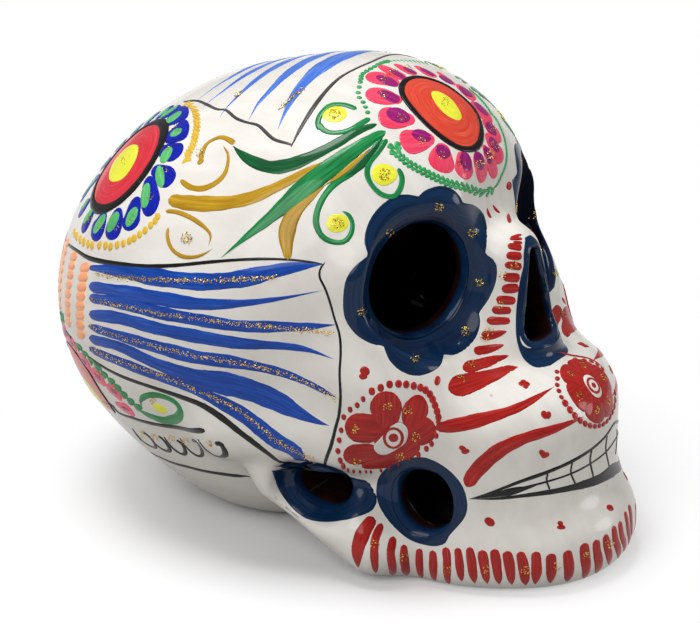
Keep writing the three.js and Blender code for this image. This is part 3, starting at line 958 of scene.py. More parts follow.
# %% Eye flowers
EYE_VIEW = (330, 170, 6.272)
EYE_PETALS = (
    ((240, 535), (215, 440), (240, 330), (310, 230), (400, 165), (480, 152), (555, 165)),
    ((555, 165), (600, 125), (690, 98), (770, 120), (815, 165), (835, 205)),
    ((835, 205), (905, 220), (960, 270), (985, 350), (985, 440), (975, 530)),
    ((975, 530), (1020, 555), (1048, 620), (1035, 720), (990, 820), (935, 895)),
    ((935, 895), (942, 970), (910, 1060), (850, 1125), (780, 1160), (715, 1160)),
    ((715, 1160), (690, 1230), (610, 1280), (530, 1292), (440, 1260), (370, 1190), (335, 1100)),
    ((335, 1100), (270, 1095), (170, 1040), (100, 950), (80, 850), (95, 700), (150, 610), (240, 535)))
EYE_LIP, EYE_SINK = 1.2, 6
EYE_DABS = ((375, 393), (680, 230), (893, 393), (935, 705), (848, 1010), (530, 1180), (202, 893))


def matched(loop, turn, count):
    """A loop cut again at even turns, so that it lines up with an opening."""
    order = np.argsort(turn)
    even = np.linspace(-math.pi, math.pi, count, endpoint=False)
    return np.stack([np.interp(even, turn[order], loop[order, k], period=2 * math.pi) for k in range(3)], -1)


TURNS = np.linspace(-math.pi, math.pi, 168, endpoint=False)
NEAR = np.array([-1, 1, 1])
outline = np.concatenate([smooth_line(seen(EYE_VIEW, *petal), 24)[:-1] for petal in EYE_PETALS])
rim = struck(outline)
local = spun(folded(rim), EYE, EYE_TURN)
rim = matched(rim, np.arctan2(local[:, 2] / EYE_HIGH, local[:, 0] / EYE_WIDE), len(TURNS))
flat = np.stack([(EYE_WIDE + EYE_LIP) * np.cos(TURNS), 0 * TURNS + EYE_SINK,
                 (EYE_HIGH + EYE_LIP) * np.sin(TURNS)], -1)
hole = (spun(flat, (0, 0, 0), -EYE_TURN) + np.array(EYE)) * NEAR + [0, SLIDE, 0]
fill("eye_flowers", rim, settle(hole), rise=0.16, both=False)
print("eye flower points", len(outline))

# %% The far eye, and painted shade for the dark inside it
FAR_NOSE_EDGE, FAR_EAR_EDGE = 11.3, 44.4
FAR_LOW_EDGE = ((28, 63.6), (32.2, 63.8), (37.3, 65.5), (42.6, 68.3), (44.4, 70.0))
FAR_PAINTED_SHADE = ((-150, 0.05), (-90, 0.05), (-70, 0.5), (-45, 0.85), (0, 0.97), (40, 0.97), (75, 0.7),
             (110, 0.05), (150, 0.05))
far_rim = rim * NEAR
far_rim[:, 0] = np.clip(far_rim[:, 0], FAR_NOSE_EDGE, FAR_EAR_EDGE)
far_rim[:, 2] = np.maximum(far_rim[:, 2], np.interp(far_rim[:, 0], *np.array(FAR_LOW_EDGE).T))
far_rim, far_hole = settle(far_rim), settle(hole * NEAR)
fill("eye_flowers", far_rim, far_hole, rise=0.16, both=False)
# This patch is painted shade: near-black paint standing in for the unlit inside of the far eye's hole.
shade_reach = np.interp(np.degrees(TURNS), *np.array(FAR_PAINTED_SHADE).T)[:, None]
shade_rim = settle(far_hole + shade_reach * (far_rim - far_hole))
fill("far_eye_painted_shade", shade_rim, far_hole, layer=1, rise=0.12, both=False)
dab_all(EYE_VIEW, EYE_DABS, radius=4.6, count=34)
print("far eye is", round(np.ptp(far_rim[:, 0]), 1), "mm wide")

# %% Nose field
NOSE_FLANK = ((1222, 425), (1215, 520), (1213, 600), (1190, 700), (1170, 850), (1165, 960), (1170, 1060),
              (1200, 1160), (1250, 1220), (1310, 1242), (1385, 1228))
NOSE_CENTRE, NOSE_STRETCH = 72, np.array([8, 15])
NOSE_FRONT, NOSE_HALVINGS, NOSE_LIP = -58, 30, 1.0


def nose_turn(loop):
    """The turn of each point about the nose, as if its opening were round."""
    return np.arctan2((loop[:, 2] - NOSE_CENTRE) / NOSE_STRETCH[1], -loop[:, 0] / NOSE_STRETCH[0])


def nose_edge(level):
    """A loop at a given distance outside the opening of the nose."""
    near, far = np.zeros(len(TURNS)), np.full(len(TURNS), 3.0)
    for _ in range(NOSE_HALVINGS):
        reach = (near + far) / 2
        p = np.stack([-NOSE_STRETCH[0] * reach * np.cos(TURNS), NOSE_FRONT + 0 * TURNS,
                      NOSE_CENTRE + NOSE_STRETCH[1] * reach * np.sin(TURNS)], -1)
        inside = opening(p) < level
        near, far = np.where(inside, reach, near), np.where(inside, far, reach)
    return p


flank = smooth_line(struck(seen(EYE_VIEW, *NOSE_FLANK)), 60)
flank[:, 0] = np.minimum(flank[:, 0], -0.4)
loop = np.concatenate([flank, (flank * NEAR)[::-1]])
rim = matched(loop, nose_turn(loop), len(TURNS))
fill("nose_field", rim, settle(nose_edge(NOSE_LIP)), rise=0.14, both=False)
print("nose field height", round(np.ptp(rim[:, 2]), 1))

# %% Cheek fields
REAR_FIELD = ((272, 462), (275, 480), (287, 502), (305, 518), (327, 522), (350, 519), (370, 512), (377, 502),
              (374, 490), (365, 480), (347, 475), (320, 472), (295, 468))
FRONT_FIELD = ((376, 492), (380, 475), (395, 462), (420, 457), (442, 465), (460, 482), (467, 500), (465, 517),
               (450, 535), (444, 544), (430, 546), (410, 540), (392, 525), (380, 508))
CHEEK_SINK = 6
REAR_LIP, FRONT_LIP = (REAR_WIDE + 1, REAR_HIGH + 1), (FRONT_WIDE + 1, FRONT_HIGH + 1)
for field, centre, (wide, high) in ((REAR_FIELD, REAR_HOLE, REAR_LIP), (FRONT_FIELD, FRONT_HOLE, FRONT_LIP)):
    loop = closed_line(struck(field), 120)
    q = folded(loop) - np.array(centre)
    rim = matched(loop, np.arctan2(q[:, 2] / high, q[:, 1] / wide), len(TURNS))
    hole = np.stack([CHEEK_SINK - centre[0] + 0 * TURNS, centre[1] + SLIDE + wide * np.cos(TURNS),
                     centre[2] + high * np.sin(TURNS)], -1)
    fill("cheek_fields", rim, settle(hole), rise=0.14)
for piece in ("eye_flowers", "nose_field", "cheek_fields"):
    lay_filled(piece, navy)
lay_filled("far_eye_painted_shade", painted_shade_blue)
print("navy", BODY_PAINT)

# %% [markdown]
# ## Blue feathers on the temples
# Long strokes run from behind the ear to the cheekbone, each begun with a full brush and lifted to a point.
# Glitter is strewn along every other one, and a black line frames the panel.

# %% Feathers
TEMPLE = (40, 230, 5.058)
FEATHER_SWELL = 1.1
FEATHERS = (
    (95, ((247, 190), (450, 210), (600, 240), (800, 262), (1000, 250), (1200, 205), (1300, 187), (1440, 172)),
     ((0, 0), (0.01, 0.25), (0.15, 0.6), (0.3, 0.95), (0.5, 0.85), (0.75, 0.85), (0.88, 0.6), (1, 0))),
    (70, ((246, 285), (400, 308), (600, 345), (800, 374), (1000, 372), (1200, 349), (1430, 306)),
     ((0, 0), (0.008, 0.45), (0.03, 0.75), (0.15, 0.8), (0.3, 1), (0.5, 0.95), (0.65, 0.65), (0.8, 0.35),
      (1, 0))),
    (64, ((246, 342), (400, 367), (600, 417), (800, 455), (1000, 485), (1200, 489), (1350, 489), (1500, 479)),
     ((0, 0), (0.008, 0.4), (0.03, 0.7), (0.15, 0.9), (0.3, 1), (0.8, 0.85), (0.9, 0.6), (1, 0))),
    (65, ((246, 427), (400, 446), (600, 500), (800, 540), (1000, 572), (1200, 585), (1350, 605), (1490, 655)),
     ((0, 0), (0.008, 0.45), (0.03, 0.8), (0.15, 0.92), (0.6, 1), (0.75, 0.7), (0.88, 0.45), (1, 0))),
    (68, ((243, 484), (400, 535), (600, 595), (800, 645), (1000, 672), (1200, 715), (1350, 772), (1500, 848)),
     ((0, 0), (0.008, 0.3), (0.05, 0.55), (0.2, 0.75), (0.45, 1), (0.6, 0.95), (0.8, 0.6), (0.95, 0.4),
      (1, 0))),
    (112, ((246, 547), (400, 590), (600, 682), (800, 750), (1000, 790), (1200, 865), (1300, 920), (1400, 968),
           (1465, 990)),
     ((0, 0), (0.008, 0.2), (0.03, 0.38), (0.3, 0.5), (0.45, 0.62), (0.58, 0.98), (0.72, 1), (0.85, 0.7),
      (1, 0))),
    (76, ((246, 597), (400, 665), (600, 742), (800, 815), (1000, 918), (1100, 992), (1200, 1072),
          (1300, 1130), (1390, 1180)),
     ((0, 0), (0.008, 0.28), (0.03, 0.5), (0.2, 0.68), (0.45, 0.65), (0.7, 0.95), (0.85, 1), (0.93, 0.75),
      (1, 0))))
GOLD_TRAILS = (
    ((280, 222), (400, 236), (500, 245), (600, 250), (800, 256), (1000, 250), (1200, 236)),
    ((258, 345), (400, 381), (600, 421), (800, 446), (1000, 472), (1200, 491), (1350, 506), (1480, 521)),
    ((250, 480), (400, 536), (600, 591), (800, 637), (1000, 671), (1200, 712), (1350, 772), (1500, 850)),
    ((258, 600), (400, 662), (600, 727), (800, 811), (1000, 906), (1100, 985), (1200, 1066), (1300, 1122),
     (1390, 1166)))
for width, path, press_line in FEATHERS:
    drawn("temple_feathers", TEMPLE, path, FEATHER_SWELL * width, press_line, rise=0.14)
for path in GOLD_TRAILS:
    trail(seen(TEMPLE, *path), count=620, stray=1.35)
lay("temple_feathers", feather_blue)

# %% The panel's black frame
TOP_LINE = ((125, 45), (180, 100), (250, 143), (350, 165), (450, 178), (560, 184), (700, 178), (850, 163),
            (1000, 151), (1150, 146), (1260, 150), (1340, 158), (1437, 172))
FRONT_LINE = ((1445, 160), (1415, 200), (1415, 245), (1440, 290), (1465, 360), (1490, 450), (1515, 530),
              (1521, 620), (1515, 720), (1520, 830), (1513, 930), (1495, 1000), (1475, 1080), (1450, 1150),
              (1433, 1220))
BOTTOM_LINE = ((160, 550), (215, 615), (300, 680), (400, 735), (550, 790), (700, 840), (820, 885), (920, 950),
               (1000, 1015), (1080, 1075), (1160, 1135), (1230, 1175), (1330, 1206), (1433, 1222))
EVEN = ((0, 1), (1, 1))
BACK_PLACES = ((-20, 83), (0, 86))
TOP_PRESS = ((0, 0.5), (0.2, 0.7), (0.35, 1), (0.5, 0.85), (0.75, 0.6), (0.97, 0.4), (1, 0))
FRONT_PRESS = ((0, 0), (0.02, 0.6), (0.4, 0.7), (0.7, 0.95), (0.9, 1), (0.98, 0.7), (1, 0))
BOTTOM_PRESS = ((0, 0.4), (0.15, 0.55), (0.4, 0.75), (0.6, 1), (0.8, 0.9), (0.95, 0.5), (1, 0))


def mirrored_on(side):
    """A line from the near side to the middle, carried on by its mirror image."""
    return np.vstack([side, (side * NEAR)[-2::-1]])


for places, width, press_line in ((TOP_LINE, 28, TOP_PRESS), (FRONT_LINE, 20, FRONT_PRESS),
                                  (BOTTOM_LINE, 30, BOTTOM_PRESS)):
    drawn("frame_lines", TEMPLE, places, width, press_line)
for places, height in ((TOP_LINE, 75), (BOTTOM_LINE, 52)):
    start = struck(seen(TEMPLE, places[0]))
    side = np.vstack([start, [(x, y, height) for x, y in BACK_PLACES]])
    brush("frame_lines", mirrored_on(side), 1.6, EVEN)
lay("frame_lines", black)

# %% [markdown]
# ## Flower on the forehead
# A yellow eye on an orange disc in a black ring, with sixteen petals and a garland of green leaves. The disc
# and the eye are filled, the ring is one closed stroke, and each petal is two: pink, then magenta.

# %% Disc, ring and eye
BROW_VIEW = (340, 40, 7.127)
BROW_EYE = ((645, 375), (700, 367), (790, 420), (850, 500), (868, 560), (830, 577), (745, 530), (675, 450))
BROW_DISC = ((445, 345), (470, 290), (550, 265), (640, 278), (760, 328), (890, 422), (972, 515), (1017, 620),
             (1012, 720), (960, 770), (880, 780), (785, 748), (672, 672), (570, 570), (488, 450))
BROW_RING = ((437, 352), (455, 300), (500, 272), (560, 264), (650, 281), (770, 332), (890, 424), (970, 515),
             (1008, 630), (1000, 720), (965, 768), (910, 781), (850, 770), (750, 712), (635, 618), (535, 515),
             (458, 415))
UNEVEN = ((0, 1), (0.3, 0.7), (0.55, 1.1), (0.8, 0.9), (1, 1))


def looped(view, places, count):
    """A closed line of pixels, followed to the clay."""
    return struck(closed_line(seen(view, *places), count))


fill("brow_disc", looped(BROW_VIEW, BROW_DISC, 96), rise=0.12, both=False)
fill("brow_eye", looped(BROW_VIEW, BROW_EYE, 72), layer=1, rise=0.14, both=False)
ring = closed_line(seen(BROW_VIEW, *BROW_RING), 90)
brush("brow_ring", np.vstack([ring, ring[:2]]), 38 / BROW_VIEW[2], UNEVEN, layer=2, both=False)
lay_filled("brow_disc", orange)
lay_filled("brow_eye", yellow)
lay("brow_ring", black)

# %% Petals, from under the ring outwards
BROW_PETALS = (
    (100, (425, 310), (310, 280), (190, 242)), (112, (445, 432), (310, 402), (180, 376)),
    (152, (535, 565), (400, 558), (270, 538)), (176, (672, 695), (550, 718), (428, 735)),
    (190, (742, 738), (728, 840), (718, 943)), (120, (868, 793), (885, 890), (897, 996)),
    (100, (968, 793), (1000, 900), (1027, 1008)), (84, (1022, 745), (1066, 860), (1112, 980)),
    (92, (1042, 660), (1100, 765), (1155, 872)), (78, (1017, 562), (1084, 642), (1148, 728)),
    (70, (934, 436), (1010, 510), (1088, 588)), (64, (833, 313), (900, 368), (970, 423)),
    (64, (694, 225), (755, 272), (814, 323)), (64, (535, 182), (610, 224), (682, 269)),
    (64, (388, 169), (466, 208), (544, 249)), (90, (276, 178), (370, 228), (463, 284)))
BROW_INNERS = (
    (68, (412, 331), (258, 258)), (74, (422, 440), (270, 368)), (108, (500, 562), (326, 518)),
    (92, (650, 702), (507, 668)), (118, (738, 752), (725, 847)), (88, (888, 796), (900, 940)),
    (68, (968, 794), (1006, 930)), (54, (1028, 758), (1072, 887)), (58, (1062, 692), (1128, 802)),
    (58, (1038, 586), (1112, 682)), (48, (952, 447), (1058, 542)), (45, (847, 332), (943, 410)),
    (48, (708, 252), (804, 317)), (48, (574, 202), (670, 261)), (45, (452, 197), (537, 245)),
    (54, (356, 212), (458, 280)))
BROW_DABS = ((310, 290), (305, 390), (440, 548), (580, 712), (730, 825), (862, 882), (990, 882), (1065, 815),
             (1097, 755), (1076, 625), (380, 232), (490, 210), (745, 442))
drawn_all("brow_petals", BROW_VIEW, BROW_PETALS, PETAL, swell=1.1, both=False)
drawn_all("brow_inners", BROW_VIEW, BROW_INNERS, OVAL, layer=2, rise=0.1, both=False)
dab_all(BROW_VIEW, BROW_DABS, radius=4.4, count=28, both=False)
lay("brow_petals", pink)
lay("brow_inners", magenta)

# %% Garland: beads at the back, pairs of leaves along the front, fine dashes at the far side
GARLAND_BEADS = ((340, 152), (318, 156), (295, 164), (270, 175), (245, 190), (218, 205), (190, 222),
                 (165, 238), (152, 258), (150, 278), (145, 300), (138, 335), (130, 375), (138, 410),
                 (165, 442), (182, 477), (197, 515))
GARLAND_LINE = ((385, 750), (400, 800), (445, 843), (490, 880), (545, 912), (595, 938), (645, 962),
                (695, 986), (745, 1007), (790, 1025), (840, 1037), (885, 1048), (930, 1062), (970, 1080),
                (1010, 1088), (1045, 1088), (1078, 1070), (1105, 1052))
GARLAND_FINE = ((1105, 1052), (1130, 1015), (1155, 960), (1175, 910), (1186, 860), (1188, 800), (1181, 740),
                (1166, 680), (1142, 620), (1112, 562), (1080, 525), (1050, 480), (1015, 435), (970, 390),
                (915, 345))
GARLAND_TOP = ((300, 160), (380, 150), (470, 150), (560, 158), (640, 174))


def paced(places, count):
    """Even places along a line, each with the way onwards and the way across."""
    line = smooth_line(np.array(places, float), count + 1)
    onward = np.diff(line, axis=0)
    onward /= np.linalg.norm(onward, axis=1, keepdims=True)
    return [(here, step, np.array([-step[1], step[0]])) for here, step in zip(line, onward)]


for x, y in GARLAND_BEADS:
    bead = (x - 19, y - 3), (x + 19, y + 4)
    drawn("green_garland", BROW_VIEW, bead, 27, OVAL, rise=0.25, both=False)
for k, (here, step, off) in enumerate(paced(GARLAND_LINE, 23)):
    size = 1.6 if k < 2 else 1.0
    for way in (1, -1):
        leaf = here - step * 16 + off * way * 25 * size, here + step * 30
        drawn("green_garland", BROW_VIEW, leaf, 31 * size, rise=0.2, both=False)
for places, count, width in ((GARLAND_FINE, 46, 15), (GARLAND_TOP, 12, 12)):
    for here, step, off in paced(places, count):
        dash = here - step * 16 - off * 9, here + step * 20 + off * 6
        drawn("green_garland", BROW_VIEW, dash, width, LEAF, rise=0.15, both=False)
lay("green_garland", garland_green)

# %% [markdown]
# ## Leaves and scrolls
# A sprig grows back from the forehead flower over each side: three green leaves, ochre leaves between them,
# and curls round yellow dots. A leaf starts with a broad dark root and is drawn out to a hair.

# %% Green leaves
SPRIG = (160, 90, 6.533)
ROOTED = ((0, 0), (0.015, 0.3), (0.05, 0.48), (0.3, 0.7), (0.62, 1), (0.8, 0.78), (0.92, 0.38), (1, 0))
BROAD = ((0, 0), (0.015, 0.28), (0.05, 0.45), (0.25, 0.78), (0.42, 1), (0.6, 0.75), (0.8, 0.34), (1, 0))
WANE = ((0, 0), (0.01, 0.6), (0.04, 0.95), (0.2, 1), (0.5, 0.85), (0.8, 0.7), (0.97, 0.5), (1, 0))
LEAF_TOP = ((1418, 222), (1300, 266), (1150, 350), (1000, 428), (850, 488), (720, 503), (600, 463),
            (520, 408), (473, 362))
LEAF_MIDDLE = ((1473, 268), (1300, 372), (1150, 482), (1000, 592), (850, 722), (700, 850), (550, 970),
               (400, 1095))
LEAF_CURL = ((1452, 315), (1360, 440), (1250, 540), (1150, 605), (1075, 690), (1028, 790), (1021, 880),
             (1060, 957), (1130, 993), (1208, 990), (1252, 930), (1256, 865), (1232, 815), (1188, 790))
LEAF_DARK = ((1455, 312), (1370, 430), (1270, 525), (1180, 590))
CURL_TOP = ((1286, 125), (1200, 95), (1110, 100), (1052, 155), (1031, 215), (1046, 262))
CURL_UNDER = ((1034, 212), (1070, 262), (1140, 280), (1230, 264), (1300, 227), (1372, 183))
CURL_RIGHT = ((387, 139), (379, 151), (370, 162), (367, 173), (371, 184), (381, 194), (393, 196.5),
              (400, 189), (402, 178), (398, 168))
drawn("dark_leaves", SPRIG, LEAF_TOP, 96, ROOTED)
drawn("green_leaves", SPRIG, LEAF_MIDDLE, 142, BROAD, layer=1)
drawn("green_leaves", SPRIG, LEAF_CURL, 52, WANE)
drawn("dark_leaves", SPRIG, LEAF_DARK, 62, LEAF, layer=1)
drawn("green_leaves", SPRIG, CURL_TOP, 36, LINE)
drawn("green_leaves", SPRIG, CURL_UNDER, 38, LINE)
brush("green_leaves", CURL_RIGHT, 5.6, LINE, layer=1)
lay("green_leaves", leaf_green)
lay("dark_leaves", dark_green)

# %% Ochre leaves and scrolls
OCHRE_BROAD = ((55, 710), (150, 733), (300, 743), (450, 735), (600, 703), (750, 640), (900, 562), (1062, 468))
OCHRE_SLIVER = ((1372, 383), (1290, 458), (1180, 552), (1078, 622))
OCHRE_LEAF = ((1082, 618), (1000, 692), (910, 772), (852, 850), (826, 950), (830, 1040), (836, 1112))
OCHRE_HOOK = ((264, 470), (277, 410), (310, 347), (390, 309), (450, 325), (487, 352))
OCHRE_KNOB = ((243, 482), (287, 452))
OCHRE_CURL = ((410, 360), (446, 430), (430, 530), (380, 595), (290, 641), (200, 636), (133, 588))
OCHRE_TAIL = ((35, 790), (120, 800), (220, 845), (300, 905), (331, 955), (316, 1022))
OCHRE_ARC = ((55, 895), (48, 955), (75, 1035), (140, 1085), (220, 1092), (290, 1070), (346, 1034))
OCHRE_DABS = ((6.0, 70, (175, 970)), (4.8, 46, (265, 415)))
BLUNT = ((0, 0), (0.012, 0.5), (0.05, 0.85), (0.15, 1), (0.35, 0.92), (0.6, 0.75), (0.8, 0.6), (0.93, 0.35),
         (1, 0))
SWOLLEN = ((0, 0), (0.2, 0.35), (0.45, 0.75), (0.65, 1), (0.85, 0.76), (0.96, 0.45), (1, 0))
RISING = ((0, 0), (0.1, 0.35), (0.4, 0.8), (0.7, 1), (0.93, 0.85), (0.985, 0.5), (1, 0))
drawn("ochre_scrolls", SPRIG, OCHRE_BROAD, 108, BLUNT)
drawn("ochre_scrolls", SPRIG, OCHRE_SLIVER, 36, LEAF, layer=2)
drawn("ochre_scrolls", SPRIG, OCHRE_LEAF, 112, SWOLLEN, layer=1)
drawn("ochre_scrolls", SPRIG, OCHRE_HOOK, 33, LINE)
drawn("ochre_scrolls", SPRIG, OCHRE_KNOB, 34, OVAL)
drawn("ochre_scrolls", SPRIG, OCHRE_CURL, 43, RISING)
drawn("ochre_scrolls", SPRIG, OCHRE_TAIL, 35, TAIL)
drawn("ochre_scrolls", SPRIG, OCHRE_ARC, 29, TAIL)
for radius, count, dab in OCHRE_DABS:
    dusted(seen(SPRIG, dab)[0], radius, count)
lay("ochre_scrolls", ochre)

# %% Yellow dots in the curls
YELLOW_DOTS = ((106, (1058, 168), (1223, 152)), (145, (1382, 565), (1550, 540)),
               (125, (1086, 882), (1234, 860)))
for width, *path in YELLOW_DOTS:
    drawn("yellow_dots", SPRIG, path, width, OVAL, rise=0.14)
    dusted(seen(SPRIG, *path).mean(0), 6.0, 70)
lay("yellow_dots", yellow)

# %% [markdown]
# ## Flowers at the back
# Behind each temple sits a flower with blue petals, and lower down one with pink petals. Their near halves
# are read off the picture. The halves that turn away are laid out evenly round the middle, as a painter
# would.

# %% Upper flower: disc, ring and eye
NAPE_VIEW = (40, 80, 7.127)
NAPE_EYE = ((690, 458), (708, 482), (692, 560), (642, 650), (587, 712), (527, 732), (494, 715), (494, 660),
            (530, 580), (590, 510), (645, 465))
NAPE_MIDDLE, NAPE_RADIUS = (-36.1, 48.9, 101), 14.8
HEAVY_NEAR = ((0, 0.95), (0.12, 1.05), (0.25, 1.2), (0.4, 0.6), (0.6, 0.5), (0.75, 1.1), (0.88, 1), (1, 0.95))
nape = bloom(NAPE_MIDDLE)
around = np.linspace(0, 360, 72, endpoint=False)
fill("nape_disc", on_bloom(nape, np.full((72, 1), NAPE_RADIUS - 0.5), around), rise=0.12)
fill("nape_eye", looped(NAPE_VIEW, NAPE_EYE, 64), layer=1, rise=0.14)
ring = on_bloom(nape, np.full((73, 1), NAPE_RADIUS), np.append(around, 0))
brush("nape_ring", np.vstack([ring, ring[1]]), 2.7, HEAVY_NEAR, layer=2, both=True)
lay_filled("nape_disc", crimson)
lay_filled("nape_eye", yellow)
lay("nape_ring", black)

# %% Blue petals with green hearts
NAPE_PETALS = (
    (88, (888, 312), (970, 258), (1058, 200)), (132, (888, 418), (975, 375), (1066, 322)),
    (142, (850, 492), (930, 510), (1012, 522)), (150, (802, 628), (875, 672), (945, 735)),
    (136, (768, 688), (785, 830), (788, 972)), (112, (692, 828), (660, 950), (632, 1078)),
    (102, (562, 908), (530, 1030), (498, 1142)), (92, (466, 938), (420, 1040), (372, 1137)),
    (76, (391, 913), (340, 1000), (294, 1075)), (62, (366, 838), (320, 905), (273, 967)),
    (46, (371, 748), (330, 808), (290, 864)), (46, (858, 277), (930, 228), (1002, 178)))
NAPE_HEARTS = (
    (47, (898, 306), (1013, 228)), (82, (934, 380), (1010, 371)), (84, (880, 594), (922, 478)),
    (77, (872, 764), (845, 613)), (82, (762, 736), (750, 912)), (64, (692, 906), (620, 1047)),
    (72, (562, 943), (484, 1083)), (67, (470, 963), (383, 1090)), (50, (381, 920), (311, 1020)),
    (42, (351, 848), (289, 930)), (33, (363, 753), (304, 834)), (31, (859, 271), (986, 184)))
NAPE_DABS = ((970, 345), (905, 490), (890, 640), (785, 830), (655, 990), (545, 1045), (435, 1035), (345, 985),
             (598, 580))
TURNED_AWAY = np.arange(122, 236, 19)


def hidden(path):
    """Whether a path on the clay faces away from the camera."""
    return np.sum(steepest(surface, path) * (viewpoint - path), -1).max() < 0


drawn_all("nape_petals", NAPE_VIEW, NAPE_PETALS, PETAL, swell=1.18)
drawn_all("nape_hearts", NAPE_VIEW, NAPE_HEARTS, OVAL, layer=2, rise=0.12)
for degrees in TURNED_AWAY:
    brush("nape_petals", spoke(nape, 16.0, 23.5, degrees), 5.6, PETAL, both=True)
    brush("nape_hearts", spoke(nape, 17.8, 21.9, degrees), 3.0, OVAL, layer=2, rise=0.12, both=True)
dab_all(NAPE_VIEW, NAPE_DABS, radius=4.2, count=20)
lay("nape_petals", royal)
lay("nape_hearts", pale_green)

# %% Ochre rope round the flower
ROPE_RIGHT = ((1045, 168), (1076, 182), (1097, 205), (1112, 240), (1117, 280), (1120, 320), (1114, 360),
              (1105, 400), (1098, 440), (1083, 480), (1060, 520), (1040, 565))
ROPE_LOW = ((838, 975), (822, 1003), (790, 1035), (750, 1072), (710, 1101), (672, 1128), (638, 1146),
            (595, 1166), (550, 1176), (503, 1188), (467, 1181), (423, 1179), (372, 1180), (343, 1170),
            (312, 1156), (287, 1137), (262, 1115), (246, 1090))
ROPE_TIP = ((1012, 600), (1046, 565), (1082, 575))
for here, step, off in paced(ROPE_RIGHT, 17):
    strand = here - step * 14 + off * 29, here + step * 18 - off * 29
    drawn("yellow_rope", NAPE_VIEW, strand, 36, LEAF, rise=0.25)
drawn("yellow_rope", NAPE_VIEW, ROPE_TIP, 46, LEAF)
for x, y in ROPE_LOW:
    drawn("yellow_rope", NAPE_VIEW, ((x - 4, y - 27), (x + 4, y + 27)), 46, OVAL, rise=0.28)
for degrees in np.arange(TURNED_AWAY[0] - 12, TURNED_AWAY[-1] + 10, 7.0):
    bead = spoke(nape, 25.0, 27.6, degrees, swing=2)
    if hidden(bead):
        brush("yellow_rope", bead, 2.1, OVAL, rise=0.28, both=True)
lay("yellow_rope", rope_yellow)

# %% Lower flower: half a disc on a black line
BACK_VIEW = (40, 220, 6.03)
LOW_MIDDLE, LOW_EYE = (-41.4, 57, 31.4), 8.0
LOW_REACH = ((0, 12.5), (8, 13), (36, 15), (56, 18), (84, 19), (180, 19))
low = bloom(LOW_MIDDLE)
half_turn = np.linspace(0, 180, 61)
reach = np.interp(half_turn, *np.array(LOW_REACH).T)[:, None]


def half_disc(radius):
    """The upper half of a disc, closed by a level line."""
    level_line = np.linspace(-radius[-1, 0], radius[0, 0], 26)[1:-1, None]
    return np.vstack([on_bloom(low, radius, half_turn), on_bloom(low, level_line, np.zeros(24))])


fill("low_disc", half_disc(reach), rise=0.12)
fill("low_eye", half_disc(np.full((61, 1), LOW_EYE)), layer=1, rise=0.14)
brush("low_ring", on_bloom(low, reach, half_turn), 0.8, LINE, layer=2, both=True)
lay_filled("low_disc", orange)
lay_filled("low_eye", yellow)
lay("low_ring", black)

# %% Its petals and garland
LOW_PETALS = ((80, (455, 1108), (566, 1160)), (100, (400, 1008), (488, 1052)), (112, (306, 922), (389, 962)),
              (112, (228, 834), (300, 870)), (104, (166, 728), (216, 756)))
LOW_GARLAND = ((596, 1130), (535, 1085), (490, 1035), (440, 980), (390, 935), (345, 885), (300, 840),
               (250, 785), (200, 722))
LOW_DABS = ((513, 1132), (447, 1030), (350, 938))
for width, inner, outer in LOW_PETALS:
    inner, outer = np.array(inner), np.array(outer)
    drawn("low_petals", BACK_VIEW, (inner, outer), 1.15 * width, PETAL)
    mark = inner + 0.3 * (outer - inner), inner + 0.74 * (outer - inner)
    drawn("low_inners", BACK_VIEW, mark, 0.4 * width, OVAL, layer=2, rise=0.1)
dab_all(BACK_VIEW, LOW_DABS, radius=3.4, count=14)
for here, step, off in paced(LOW_GARLAND, 10):
    for way in (1, -1):
        leaf = here - step * 20 + off * way * 11, here + step * 38
        drawn("low_garland", BACK_VIEW, leaf, 32, rise=0.2)
for degrees in np.arange(106, 176, 18):
    brush("low_petals", spoke(low, 19.5, 26.0, degrees), 6.6, PETAL, both=True)
    brush("low_inners", spoke(low, 21.0, 24.5, degrees), 2.8, OVAL, layer=2, rise=0.1, both=True)
for degrees in np.arange(100, 178, 6):
    for side in (26.6, 29.4):
        brush("low_garland", spoke(low, side, 28.0, degrees, swing=5), 1.5, rise=0.2, both=True)
lay("low_petals", pink)
lay("low_inners", magenta)
lay("low_garland", leaf_green)

# %% Curl, lines and hooks under the feathers
LOW_CURL = ((490, 905), (560, 942), (640, 965), (698, 948), (710, 912), (685, 873), (640, 848), (580, 834),
            (530, 842), (508, 866), (514, 890))
CURL_PRESS = ((0, 0.2), (0.08, 0.8), (0.22, 1.2), (0.4, 1), (0.65, 0.7), (0.9, 0.65), (1, 0.1))
LOW_DOT = ((572, 897), (642, 910))
LOW_LINE = ((366, 886), (400, 925), (470, 952), (580, 982), (700, 1000), (832, 1013))
HOOK_VIEW = (130, 420, 13.07)
HEM_LINE = ((280, 430), (400, 490), (560, 560), (760, 615), (960, 665), (1200, 705), (1400, 730), (1568, 745))
HOOKS = (
    (22, ((30, 110), (90, 195), (150, 268))),
    (24, ((100, 200), (160, 270), (230, 320), (300, 355), (335, 358), (320, 310), (280, 250), (220, 190),
          (172, 162))),
    (26, ((255, 220), (300, 280), (370, 345), (440, 390), (500, 410), (520, 388), (500, 345), (460, 290),
          (410, 235), (375, 217))),
    (28, ((445, 220), (490, 290), (550, 360), (620, 415), (690, 450), (724, 430), (715, 380), (680, 320),
          (645, 282), (615, 275))),
    (30, ((655, 240), (700, 310), (760, 380), (830, 440), (910, 475), (945, 450), (935, 390), (900, 320),
          (860, 277), (820, 272))),
    (38, ((885, 250), (940, 330), (1010, 400), (1100, 460), (1180, 485), (1235, 472), (1245, 420),
          (1205, 340), (1165, 306), (1122, 320))))
HOOK_SWELL = 1.7
HOOK_PRESS = ((0, 0.4), (0.2, 0.8), (0.5, 1), (0.7, 1.1), (0.85, 0.9), (0.97, 1.1), (1, 0.7))
